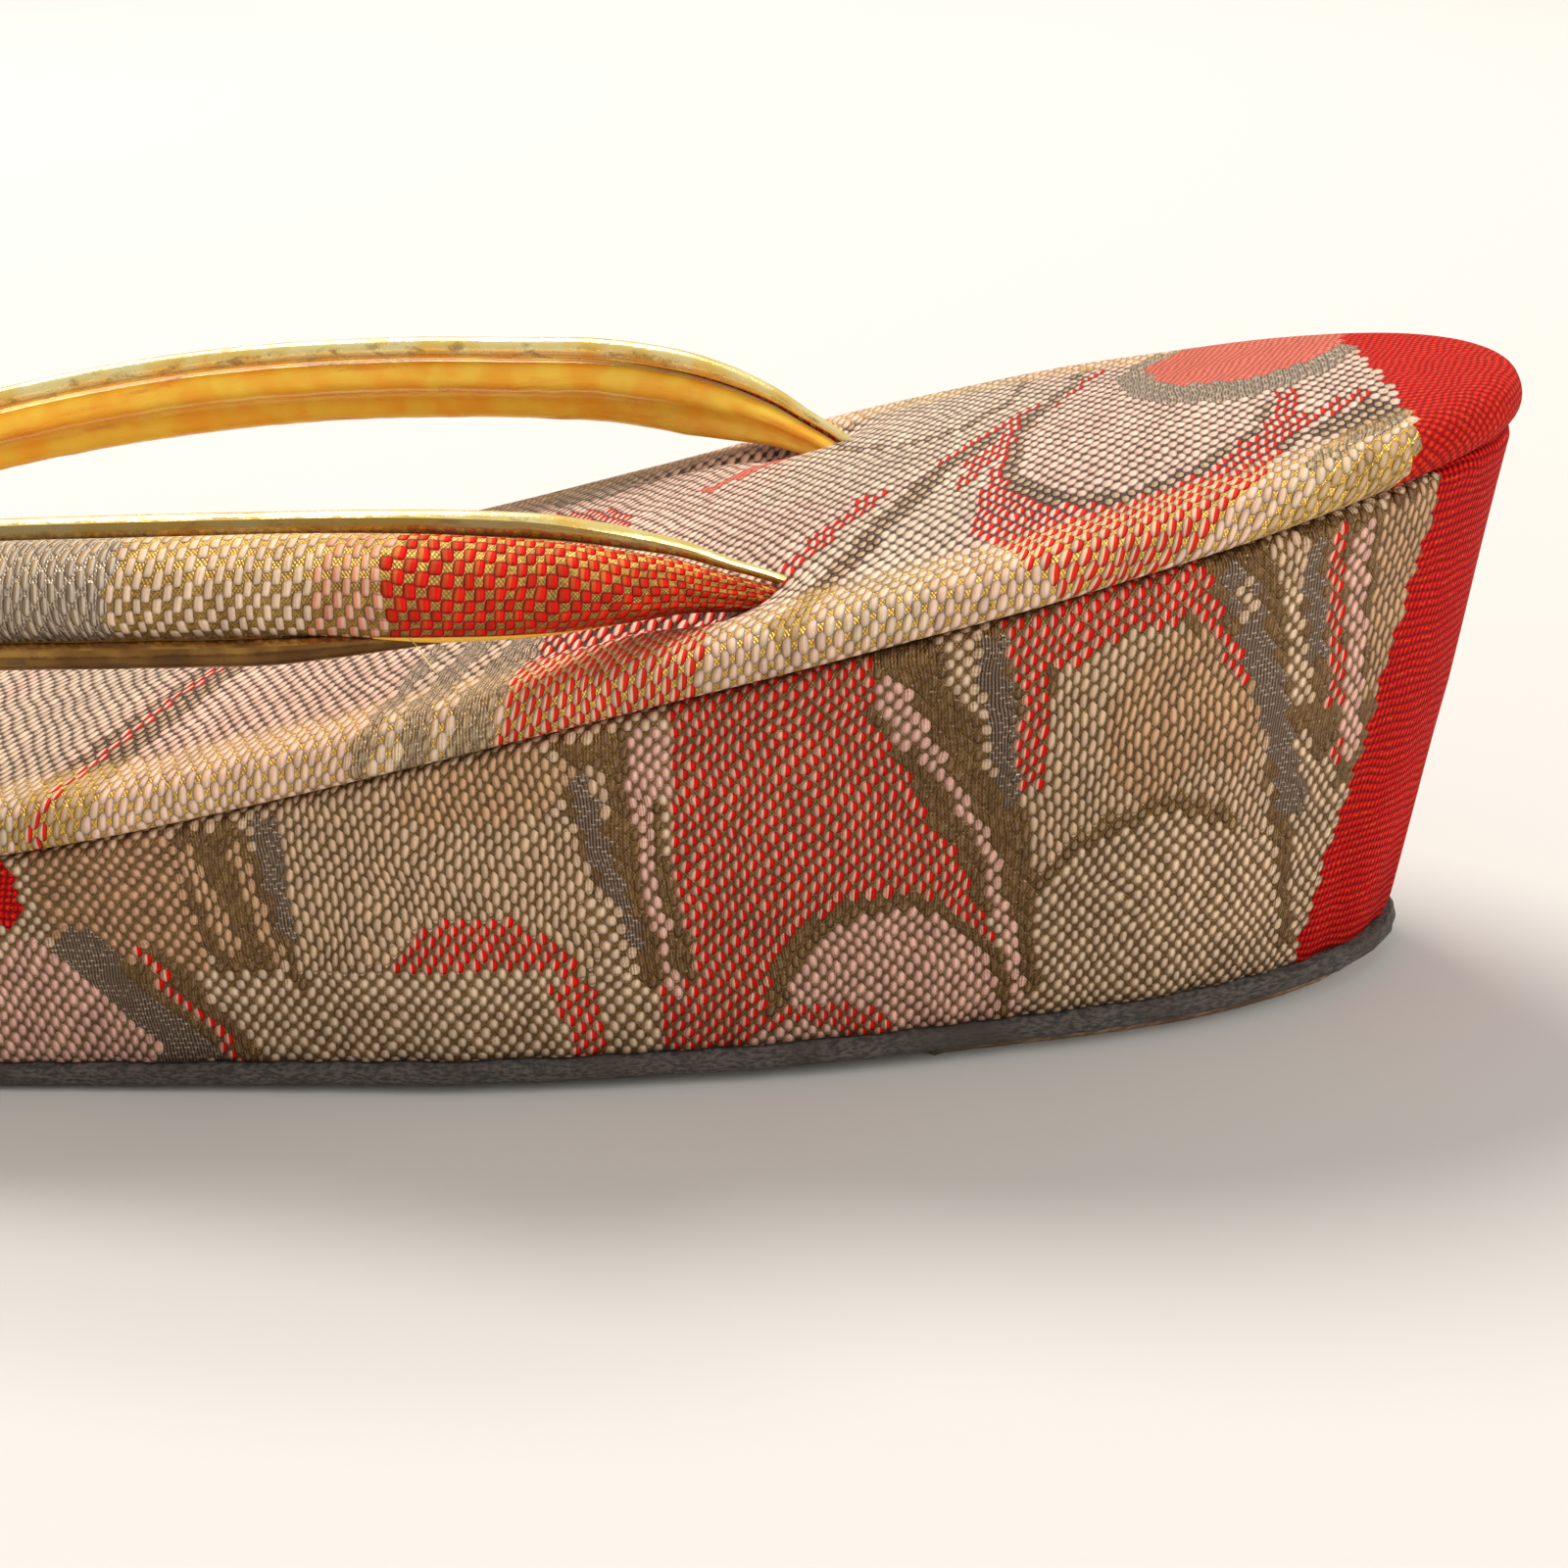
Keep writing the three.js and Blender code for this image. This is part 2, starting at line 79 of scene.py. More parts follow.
# Where the underside comes down to the floor, where it springs up to the toe, and where the tuck of the
# wall eases, as shares of LENGTH from the heel
DOWN_AT = 0.76
SPRING_FROM = 0.86
TUCK_START = 0.15
TUCK_END = 0.4

# Footbed height at even steps from heel to toe, as shares of HEEL_HEIGHT
BOARD_PROFILE = (0.988, 0.896, 0.782, 0.65, 0.532, 0.451, 0.407, 0.41, 0.454)

# Strap from its rear hole to the toe loop, as in the part's source
RouteRow = namedtuple("RouteRow", "at side rise width thick tilt")
STRAP_ROUTE = (
    RouteRow(0.2354, 0.545, -0.378, 0.3, 0.42, 8),
    RouteRow(0.25, 0.598, -0.214, 0.3, 0.42, 8),
    RouteRow(0.2667, 0.656, -0.046, 0.31, 0.43, 11),
    RouteRow(0.2792, 0.701, 0.046, 0.4, 0.52, 14),
    RouteRow(0.2917, 0.746, 0.133, 0.53, 0.66, 17),
    RouteRow(0.3083, 0.807, 0.224, 0.69, 0.84, 22),
    RouteRow(0.3333, 0.88, 0.347, 0.88, 0.98, 30),
    RouteRow(0.3667, 0.95, 0.495, 0.98, 1, 38),
    RouteRow(0.4083, 0.978, 0.638, 1, 1, 42),
    RouteRow(0.4583, 1, 0.786, 1, 1, 42),
    RouteRow(0.5208, 0.992, 0.923, 1, 1, 42),
    RouteRow(0.5833, 0.944, 0.995, 1, 1, 42),
    RouteRow(0.6542, 0.821, 1, 1, 1, 45),
    RouteRow(0.7125, 0.648, 0.939, 0.97, 1, 48),
    RouteRow(0.7625, 0.425, 0.827, 0.9, 0.98, 53),
    RouteRow(0.7937, 0.218, 0.724, 0.8, 0.94, 58),
    RouteRow(0.8063, 0, 0.684, 0.74, 0.9, 60),
)


# Plain helpers
def clamp01(value):
    return min(max(value, 0.0), 1.0)


def smooth_step(start, end, value):
    t = clamp01((value - start) / (end - start))
    return t * t * (3 - 2 * t)


def read_between(values, index):
    last = len(values) - 1
    low = min(max(int(index), 0), last - 1)
    t = index - low
    at = [values[min(max(k, 0), last)] for k in (low - 1, low, low + 1, low + 2)]
    slope_low = (at[2] - at[0]) / 2
    slope_high = (at[3] - at[1]) / 2
    t2 = t * t
    t3 = t2 * t
    start = at[1] * (2 * t3 - 3 * t2 + 1) + slope_low * (t3 - 2 * t2 + t)
    end = at[2] * (3 * t2 - 2 * t3) + slope_high * (t3 - t2)
    return start + end


def soft_noise(point, size):
    return noise.noise(Vector(point) / size)


# Distance from the heel, heights of the surfaces and tuck of the wall at a lengthwise place
def from_heel(y):
    return y + LENGTH / 2


def board_top(y):
    share = clamp01(from_heel(y) / LENGTH)
    return HEEL_HEIGHT * read_between(BOARD_PROFILE, share * (len(BOARD_PROFILE) - 1))


def sole_underside(y):
    share = from_heel(y) / LENGTH
    spring = clamp01((share - SPRING_FROM) / (1 - SPRING_FROM))
    raised = (LIFT_THICKNESS + CONTACT_GAP) * (1 - clamp01(share / DOWN_AT))
    return raised + TOE_SPRING * spring * spring


def wedge_base(y):
    return sole_underside(y) + OUTSOLE_THICKNESS + CONTACT_GAP


def wedge_top(y):
    return board_top(y) - BOARD_THICKNESS - CONTACT_GAP


def tuck_at(y):
    share = from_heel(y) / LENGTH
    side = smooth_step(TUCK_START, TUCK_END, share)
    toe = smooth_step(1 - TOE_CURVE / LENGTH, 1, share)
    return HEEL_TUCK + (SIDE_TUCK - HEEL_TUCK) * side + (TOE_TUCK - SIDE_TUCK) * toe


# The footbed's outline at even steps of its length round one side
def right_outline():
    side_end = LENGTH - TOE_CURVE

    def half_width(distance):
        widening = smooth_step(HEEL_CURVE, side_end, distance)
        return (HEEL_WIDTH + (BALL_WIDTH - HEEL_WIDTH) * widening) / 2

    points = []
    for turn in np.linspace(0, np.pi / 2, 300):
        points.append((half_width(0) * np.sin(turn), HEEL_CURVE * (1 - np.cos(turn))))
    for distance in np.linspace(HEEL_CURVE, side_end, 120)[1:-1]:
        points.append((half_width(distance), distance))
    for turn in np.linspace(np.pi / 2, 0, 300):
        points.append((half_width(LENGTH) * np.sin(turn), LENGTH - TOE_CURVE * (1 - np.cos(turn))))
    return np.array(points)


OUTLINE = right_outline()
OUTLINE_SLOPE = np.gradient(OUTLINE, axis=0)
OUTLINE_NORMAL = np.stack([OUTLINE_SLOPE[:, 1], -OUTLINE_SLOPE[:, 0]], 1)
OUTLINE_NORMAL /= np.linalg.norm(OUTLINE_NORMAL, axis=1)[:, None]
OUTLINE_STEPS = np.linalg.norm(np.diff(OUTLINE, axis=0), axis=1)
OUTLINE_ARC = np.concatenate([[0.0], np.cumsum(OUTLINE_STEPS)])
HALF_ROUND = float(OUTLINE_ARC[-1])

Station = namedtuple("Station", "x y out_x out_y arc side")


@lru_cache(maxsize=None)
def outline_station(share):
    """Point and outward direction at a share of the whole way round, from the heel by the right side."""
    distance = share * 2 * HALF_ROUND
    side = 1 if distance <= HALF_ROUND else -1
    arc = distance if side > 0 else 2 * HALF_ROUND - distance
    x, s = (float(np.interp(arc, OUTLINE_ARC, OUTLINE[:, k])) for k in (0, 1))
    out_x, out_y = (float(np.interp(arc, OUTLINE_ARC, OUTLINE_NORMAL[:, k])) for k in (0, 1))
    return Station(side * x, s - LENGTH / 2, side * out_x, out_y, arc, side)


# The strap's centre line: rows on one smooth curve, spaced by the root of their distances
def mirrored_rows():
    left = [row._replace(side=-row.side) for row in STRAP_ROUTE]
    return left + list(reversed(STRAP_ROUTE[:-1]))


STRAP_ROWS = mirrored_rows()
LAST_ROW = len(STRAP_ROWS) - 1


def route_point(row):
    y = row.at * LENGTH - LENGTH / 2
    return (row.side * STRAP_SPREAD / 2, y, board_top(y) + row.rise * STRAP_RISE)


ROUTE_POINTS = np.array([route_point(row) for row in STRAP_ROWS])
ROUTE_ENDS = np.stack([2 * ROUTE_POINTS[0] - ROUTE_POINTS[1], 2 * ROUTE_POINTS[-1] - ROUTE_POINTS[-2]])
ROUTE_PADDED = np.concatenate([ROUTE_ENDS[:1], ROUTE_POINTS, ROUTE_ENDS[1:]])
ROUTE_GAPS = np.sqrt(np.linalg.norm(np.diff(ROUTE_PADDED, axis=0), axis=1))


def route_slope(i):
    before, here, after = ROUTE_PADDED[i:i + 3]
    gap_in = ROUTE_GAPS[i]
    gap_out = ROUTE_GAPS[i + 1]
    return (here - before) / gap_in - (after - before) / (gap_in + gap_out) + (after - here) / gap_out


ROUTE_SLOPES = [route_slope(i) for i in range(len(STRAP_ROWS))]


def strap_curve(row):
    """Point and direction of the centre line at a row of the route."""
    low = min(int(row), LAST_ROW - 1)
    t = row - low
    gap = ROUTE_GAPS[low + 1]
    p0, p1 = ROUTE_POINTS[low], ROUTE_POINTS[low + 1]
    m0, m1 = ROUTE_SLOPES[low] * gap, ROUTE_SLOPES[low + 1] * gap
    a = 2 * p0 - 2 * p1 + m0 + m1
    b = -3 * p0 + 3 * p1 - 2 * m0 - m1
    point = a * t**3 + b * t**2 + m0 * t + p0
    direction = 3 * a * t**2 + 2 * b * t + m0
    return Vector(point), Vector(direction).normalized()


def strap_lengths(samples=3000):
    rows = np.linspace(0, LAST_ROW, samples)
    points = np.array([strap_curve(row)[0] for row in rows])
    steps = np.linalg.norm(np.diff(points, axis=0), axis=1)
    return rows, np.concatenate([[0.0], np.cumsum(steps)])


LENGTH_ROWS, LENGTH_SUMS = strap_lengths()
STRAP_LENGTH = float(LENGTH_SUMS[-1])
StrapStation = namedtuple("StrapStation", "centre outward upward width thick run")


@lru_cache(maxsize=None)
def strap_station(share):
    """Place, frame and size of the strap at a share of its length from the left hole."""
    run = share * STRAP_LENGTH
    row = float(np.interp(run, LENGTH_SUMS, LENGTH_ROWS))
    centre, along = strap_curve(row)
    level = Vector((-along.y, along.x, 0)).normalized()
    upright = along.cross(level)
    tilt = np.radians(read_between([r.tilt for r in STRAP_ROWS], row))
    outward = level * np.cos(tilt) + upright * np.sin(tilt)
    upward = upright * np.cos(tilt) - level * np.sin(tilt)
    width = read_between([r.width for r in STRAP_ROWS], row)
    thick = read_between([r.thick for r in STRAP_ROWS], row)
    return StrapStation(centre, outward, upward, width, thick, run)


FACE_HALF = STRAP_WIDTH / 2 - PIPING_DIAMETER - CONTACT_GAP


def half_face(station):
    return FACE_HALF * station.width


def piping_radius(station):
    return PIPING_DIAMETER / 2 * station.thick


def piping_centre(station):
    return half_face(station) + CONTACT_GAP + piping_radius(station)


# Camera at the photograph's angle
def make_camera():
    yaw, pitch, roll = 0.1719, -0.4022, -0.063
    forward = Vector((np.cos(pitch) * np.cos(yaw), np.cos(pitch) * np.sin(yaw), np.sin(pitch)))
    right = forward.cross(Vector((0, 0, 1))).normalized()
    up = right.cross(forward)
    rolled_right = np.cos(roll) * right + np.sin(roll) * up
    rolled_up = np.cos(roll) * up - np.sin(roll) * right
    stand = Vector((-207.69, -89.35, 105.29)) * MM
    data = bpy.data.cameras.new("photo_camera")
    data.lens = 54.07
    data.sensor_width = 36
    data.clip_start = 10 * MM
    camera = bpy.data.objects.new("photo_camera", data)
    bpy.context.scene.collection.objects.link(camera)
    turn = Matrix((rolled_right, rolled_up, -forward)).transposed().to_4x4()
    camera.matrix_world = Matrix.Translation(stand) @ turn
    bpy.context.scene.camera = camera


make_camera()


# Skins: a grid laid along and round a form, with its cloth chart in millimetres. A cloth has a material for
# each length of the chart between its cuts, and weave gives the kind of weave at places on the chart.
Cloth = namedtuple("Cloth", "materials cuts weave")
SAME_PLACE = 0.002
NO_LENGTH = 0.001


def skin(name, columns, rows, place, chart, cloth, stands_for):
    """place and chart give a point and a place on the chart for shares of the grid. cloth is a Cloth, or a
    plain material.
    """
    woven = isinstance(cloth, Cloth)
    bm = bmesh.new()
    chart_layer = bm.loops.layers.uv.new("cloth")
    weave_layer = bm.verts.layers.float_color.new("weave") if woven else None
    bmesh.ops.create_grid(bm, x_segments=columns, y_segments=rows, size=0.5)
    shares = {v: (v.co.x + 0.5, v.co.y + 0.5) for v in bm.verts}
    charted = {v: chart(*share) for v, share in shares.items()}
    for face in bm.faces:
        for loop in face.loops:
            loop[chart_layer].uv = charted[loop.vert]
    if woven:
        kinds = cloth.weave(np.array(list(charted.values())))
        for vert, kind in zip(charted, kinds):
            vert[weave_layer] = kind
        for face in bm.faces:
            middle = sum(charted[vert][0] for vert in face.verts) / len(face.verts)
            face.material_index = int(np.searchsorted(cloth.cuts[1:-1], middle))
    for vert, share in shares.items():
        vert.co = place(*share) * MM
    bmesh.ops.remove_doubles(bm, verts=bm.verts, dist=SAME_PLACE * MM)
    bmesh.ops.dissolve_degenerate(bm, edges=bm.edges, dist=NO_LENGTH * MM)
    bmesh.ops.recalc_face_normals(bm, faces=bm.faces)
    for face in bm.faces:
        face.smooth = True
    piece = place_mesh(bm, name, cloth.materials if woven else [cloth])
    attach(piece, "root")
    if stands_for:
        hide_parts(stands_for)


def place_mesh(bm, name, materials):
    mesh = bpy.data.meshes.new(name)
    bm.to_mesh(mesh)
    bm.free()
    for material in materials:
        mesh.materials.append(material)
    made = bpy.data.objects.new(name, mesh)
    bpy.context.scene.collection.objects.link(made)
    return made


# Node helpers
def feed(tree, socket, value):
    if isinstance(value, bpy.types.NodeSocket):
        tree.links.new(value, socket)
    else:
        socket.default_value = value


def node(tree, kind, inputs=None, **settings):
    made = tree.nodes.new(kind)
    for name, value in settings.items():
        setattr(made, name, value)
    for socket, value in (inputs or {}).items():
        feed(tree, made.inputs[socket], value)
    return made


def calc(tree, operation, *values, clamp=False):
    inputs = dict(enumerate(values))
    return node(tree, "ShaderNodeMath", inputs, operation=operation, use_clamp=clamp).outputs[0]


def times(tree, first, second, clamp=False):
    return calc(tree, "MULTIPLY", first, second, clamp=clamp)


def times_plus(tree, value, factor, added):
    return calc(tree, "MULTIPLY_ADD", value, factor, added)


def wave(tree, value):
    return calc(tree, "SINE", value)


def vector_calc(tree, operation, *values):
    made = node(tree, "ShaderNodeVectorMath", dict(enumerate(values)), operation=operation)
    return made.outputs["Value" if operation == "DOT_PRODUCT" else "Vector"]


def mix(tree, factor, first, second, blend="MIX"):
    inputs = {0: factor, 6: first, 7: second}
    return node(tree, "ShaderNodeMix", inputs, data_type="RGBA", blend_type=blend).outputs[2]


def mix_value(tree, factor, first, second):
    return node(tree, "ShaderNodeMix", {0: factor, 2: first, 3: second}, data_type="FLOAT").outputs[0]


def shade(tree, colour, value):
    """The colour made lighter or darker by a value."""
    grey = node(tree, "ShaderNodeCombineColor", {0: value, 1: value, 2: value}).outputs[0]
    return mix(tree, 1.0, colour, grey, "MULTIPLY")


def spread(tree, value, low, high, to_low=0.0, to_high=1.0):
    inputs = {0: value, 1: low, 2: high, 3: to_low, 4: to_high}
    return node(tree, "ShaderNodeMapRange", inputs, interpolation_type="SMOOTHSTEP").outputs[0]


def split(tree, vector):
    made = node(tree, "ShaderNodeSeparateXYZ", {0: vector})
    return made.outputs[0], made.outputs[1]


def join(tree, x, y, z=0.0):
    return node(tree, "ShaderNodeCombineXYZ", {0: x, 1: y, 2: z}).outputs[0]


def cloud(tree, place, scale, detail, distortion=0.0):
    """The outputs of a noise. The first is its value."""
    inputs = {"Vector": place, "Scale": scale, "Detail": detail, "Distortion": distortion}
    return node(tree, "ShaderNodeTexNoise", inputs).outputs


def pick(tree, share, colours):
    """The colour whose step holds the share, with even steps from 0 to 1."""
    made = node(tree, "ShaderNodeValToRGB", {0: share})
    band = made.color_ramp
    band.interpolation = "CONSTANT"
    while len(band.elements) < len(colours):
        band.elements.new(1.0)
    for step, (element, colour) in enumerate(zip(band.elements, colours)):
        element.position = step / len(colours)
        element.color = colour
    return made.outputs[0]


def raise_surface(tree, shader, height, distance, strength=1.0):
    inputs = {"Height": height, "Strength": strength, "Distance": distance * MM}
    feed(tree, shader.inputs["Normal"], node(tree, "ShaderNodeBump", inputs).outputs[0])


def paint(red, green, blue):
    """A colour given as it shows on a screen, from 0 to 255."""
    shown = [value / 255 for value in (red, green, blue)]
    linear = [v / 12.92 if v <= 0.04045 else ((v + 0.055) / 1.055) ** 2.4 for v in shown]
    return (*linear, 1.0)


def new_group(name, takes, gives):
    tree = bpy.data.node_groups.new(name, "ShaderNodeTree")
    for label, kind in takes.items():
        tree.interface.new_socket(name=label, in_out="INPUT", socket_type=kind)
    for label, kind in gives.items():
        tree.interface.new_socket(name=label, in_out="OUTPUT", socket_type=kind)
    entry = tree.nodes.new("NodeGroupInput")
    leave = tree.nodes.new("NodeGroupOutput")
    return tree, entry.outputs, leave.inputs


def use_group(tree, group, inputs):
    made = tree.nodes.new("ShaderNodeGroup")
    made.node_tree = group
    for socket, value in inputs.items():
        feed(tree, made.inputs[socket], value)
    return made.outputs


VALUE = "NodeSocketFloat"
VECTOR = "NodeSocketVector"
COLOUR = "NodeSocketColor"


# Lattice of the brocade: rows of float stitches, each row set half a pitch on from the last. A float has a
# diamond to itself, a pitch wide and two rows high.
def cell_group():
    tree, takes, gives = new_group(
        "brocade_cell",
        {"Place": VECTOR, "Pitch": VALUE, "Row": VALUE},
        {"Centre": VECTOR, "Along": VALUE, "Across": VALUE},
    )
    x, y = split(tree, takes["Place"])
    tall = times(tree, takes["Row"], 2.0)
    column = calc(tree, "DIVIDE", x, takes["Pitch"])
    row = calc(tree, "DIVIDE", y, tall)
    even_x = calc(tree, "ADD", calc(tree, "FLOOR", column), 0.5)
    even_y = calc(tree, "ADD", calc(tree, "FLOOR", row), 0.5)
    from_x = calc(tree, "ABSOLUTE", calc(tree, "SUBTRACT", column, even_x))
    from_y = calc(tree, "ABSOLUTE", calc(tree, "SUBTRACT", row, even_y))
    on_even = calc(tree, "LESS_THAN", calc(tree, "ADD", from_x, from_y), 0.5)
    centre_x = mix_value(tree, on_even, calc(tree, "ROUND", column), even_x)
    centre_y = mix_value(tree, on_even, calc(tree, "ROUND", row), even_y)
    centre = join(tree, times(tree, centre_x, takes["Pitch"]), times(tree, centre_y, tall))
    feed(tree, gives["Centre"], centre)
    feed(tree, gives["Along"], calc(tree, "SUBTRACT", column, centre_x))
    feed(tree, gives["Across"], calc(tree, "SUBTRACT", row, centre_y))
    return tree


CELL = cell_group()


def cell_chance(tree, cell):
    """A value from 0 to 1 that stays the same over a cell."""
    made = node(tree, "ShaderNodeTexWhiteNoise", {"Vector": cell["Centre"]}, noise_dimensions="2D")
    return made.outputs["Value"]


# Finishes of the brocade. Left and right are the two halves of a float, ground the cloth between floats,
# fill the size of the floats, threads the share of fine upright threads, ribs the share of plain ribs, and
# drops the share by which a float is longer and narrower. On ribs, left is the colour of their tops, and
# right is painted shade for the grooves between them.
Finish = namedtuple("Finish", "left right ground fill threads ribs drops")
FINISH_COLOURS = {"Left": COLOUR, "Right": COLOUR, "Ground": COLOUR}
FINISH_VALUES = {"Fill": VALUE, "Threads": VALUE, "Ribs": VALUE, "Drops": VALUE}
OLIVE = paint(112, 80, 50)
BROWN = paint(84, 56, 36)
# Bright gold, painted in as glints on the ground
GOLD_GLINT = paint(238, 190, 96)
TARNISH = paint(132, 98, 52)
FINISHES = {
    "bare": Finish(paint(138, 106, 78), paint(116, 86, 62), OLIVE, 0.46, 0.45, 0, 1),
    "cream": Finish(paint(224, 194, 164), paint(208, 174, 144), OLIVE, 0.86, 0, 0, 0),
    "cream_dim": Finish(paint(160, 130, 102), paint(146, 116, 88), OLIVE, 0.6, 0.2, 0, 0),
    "cream_drops": Finish(paint(212, 180, 150), paint(196, 162, 132), OLIVE, 0.8, 0, 0, 1),
    "tan": Finish(paint(208, 166, 132), paint(190, 148, 112), OLIVE, 0.8, 0, 0, 1),
    "tan_short": Finish(paint(204, 160, 128), paint(188, 142, 110), OLIVE, 0.86, 0, 0, 0),
    "pink": Finish(paint(232, 184, 166), paint(216, 162, 144), OLIVE, 0.9, 0, 0, 0.3),
    "two_tone": Finish(paint(214, 16, 8), paint(236, 174, 152), OLIVE, 0.88, 0, 0, 0.1),
    # red, top_red and top_rose are ribbed: their right colour is the painted shade in the grooves.
    "red": Finish(paint(232, 16, 6), paint(140, 2, 2), paint(110, 6, 4), 0.9, 0, 1, 0),
    "grey": Finish(paint(138, 116, 98), paint(110, 92, 76), paint(84, 68, 54), 0.1, 1, 0, 0),
    "top_cream": Finish(paint(228, 202, 178), paint(216, 188, 162), BROWN, 0.98, 0, 0, 0),
    "top_pink": Finish(paint(236, 200, 180), paint(226, 186, 164), BROWN, 0.96, 0, 0, 0),
    "top_two_tone": Finish(paint(214, 40, 26), paint(240, 196, 176), BROWN, 0.96, 0, 0, 0),
    "top_red": Finish(paint(226, 40, 22), paint(160, 10, 4), paint(130, 26, 14), 0.95, 0, 1, 0),
    "top_rose": Finish(paint(228, 128, 108), paint(186, 84, 68), paint(180, 96, 80), 0.95, 0, 0.9, 0),
    "top_grey": Finish(paint(176, 152, 128), paint(188, 164, 140), paint(134, 108, 82), 0.5, 0.6, 0, 0),
    "top_sparse": Finish(paint(196, 166, 136), paint(176, 144, 114), BROWN, 0.72, 0.2, 0, 0),
    "strap_red": Finish(paint(214, 24, 14), paint(184, 10, 6), TARNISH, 0.86, 0, 0, 0),
    "strap_cream": Finish(paint(224, 194, 168), paint(206, 174, 146), TARNISH, 0.7, 0.2, 0, 0.5),
    "strap_mix": Finish(paint(220, 170, 146), paint(206, 130, 106), TARNISH, 0.7, 0.2, 0, 0.5),
    "strap_grey": Finish(paint(196, 178, 160), paint(128, 108, 90), TARNISH, 0.62, 0.6, 0, 1),
}
FINISH_NAMES = list(FINISHES)
THREAD_SHADOW = paint(70, 55, 43)
THREAD_TICK = paint(214, 194, 172)
RIB_GLINT = paint(236, 130, 64)


def finish_share(name):
    return (FINISH_NAMES.index(name) + 0.5) / len(FINISH_NAMES)


def palette_group():
    tree, takes, gives = new_group("brocade_palette", {"Finish": VALUE}, {**FINISH_COLOURS, **FINISH_VALUES})

    def pick_finish(colours):
        return pick(tree, takes["Finish"], colours)

    for label in FINISH_COLOURS:
        feed(tree, gives[label], pick_finish([getattr(f, label.lower()) for f in FINISHES.values()]))
    values = pick_finish([(f.fill, f.threads, f.ribs, 1.0) for f in FINISHES.values()])
    parts = node(tree, "ShaderNodeSeparateColor", {0: values}).outputs
    for label, part in zip(("Fill", "Threads", "Ribs"), parts):
        feed(tree, gives[label], part)
    drops = pick_finish([(f.drops, f.drops, f.drops, 1.0) for f in FINISHES.values()])
    feed(tree, gives["Drops"], node(tree, "ShaderNodeSeparateColor", {0: drops}).outputs[0])
    return tree


def float_dome(tree, cell, size, drops, corners):
    """Lean, height and cover of a float, which leans a little and is longer where drops is 1.

    It is an oval where corners is 2 and nearly a square where corners is 6.
    """
    leaning = times_plus(tree, cell["Across"], 0.13, cell["Along"])
    half_along = times(tree, size, mix_value(tree, drops, 0.335, 0.29))
    half_across = times(tree, size, mix_value(tree, drops, 0.37, 0.56))
    out_x = calc(tree, "ABSOLUTE", calc(tree, "DIVIDE", leaning, half_along))
    out_y = calc(tree, "ABSOLUTE", calc(tree, "DIVIDE", cell["Across"], half_across))
    reach = calc(tree, "ADD", calc(tree, "POWER", out_x, corners), calc(tree, "POWER", out_y, corners))
    dome = calc(tree, "SQRT", calc(tree, "SUBTRACT", 1.0, calc(tree, "MINIMUM", reach, 1.0)))
    return leaning, dome, spread(tree, reach, 1.08, 0.82)


def fibre_streaks(tree, place):
    return cloud(tree, vector_calc(tree, "MULTIPLY", place, (5.5, 0.9, 1.0)), 1.0, 1.0)[0]


def thread_wave(tree, x):
    return calc(tree, "ABSOLUTE", wave(tree, times(tree, x, 11.0)))


def ground_check(tree, x, y):
    bars = wave(tree, times(tree, y, 14.6))
    uprights = wave(tree, times(tree, x, 21.0))
    return times_plus(tree, times(tree, bars, uprights), 0.5, 0.5)


def tick_marks(tree, place):
    """Short light ticks across the fine threads."""
    cell = use_group(tree, CELL, {"Place": place, "Pitch": 0.74, "Row": 0.5})
    short = calc(tree, "LESS_THAN", calc(tree, "ABSOLUTE", cell["Along"]), 0.27)
    thin = calc(tree, "LESS_THAN", calc(tree, "ABSOLUTE", cell["Across"]), 0.075)
    kept = calc(tree, "GREATER_THAN", cell_chance(tree, cell), 0.4)
    return times(tree, times(tree, short, thin), kept)


def rib_waves(tree, x, y):
    """Slanting ribs, broken into short dashes by the rows."""
    ribs = wave(tree, times_plus(tree, x, 9.6, times(tree, y, 2.6)))
    rows = wave(tree, times_plus(tree, y, 7.4, times(tree, x, -0.6)))
    return times_plus(tree, ribs, 0.5, 0.5), times_plus(tree, rows, 0.5, 0.5)


# Relief of the stitches, one height for each kind of weave
def relief_group():
    tree, takes, gives = new_group(
        "brocade_relief",
        {"Place": VECTOR, "Pitch": VALUE, "Row": VALUE, "Fill": VALUE, "Corners": VALUE, "Weave": COLOUR},
        {"Height": VALUE},
    )
    cell = use_group(tree, CELL, {label: takes[label] for label in ("Place", "Pitch", "Row")})
    threads, ribs, drops = node(tree, "ShaderNodeSeparateColor", {0: takes["Weave"]}).outputs
    dome, cover = float_dome(tree, cell, takes["Fill"], drops, takes["Corners"])[1:]
    x, y = split(tree, takes["Place"])
    check = ground_check(tree, x, y)
    float_height = times_plus(tree, fibre_streaks(tree, takes["Place"]), 0.14, dome)
    height = mix_value(tree, cover, times(tree, check, 0.16), float_height)
    thread_height = times_plus(tree, thread_wave(tree, x), 0.34, times(tree, check, 0.12))
    height = mix_value(tree, threads, height, thread_height)
    rib_wave, row_wave = rib_waves(tree, x, y)
    rib_height = times_plus(tree, rib_wave, 0.42, times(tree, row_wave, 0.34))
    feed(tree, gives["Height"], mix_value(tree, ribs, height, rib_height))
    return tree


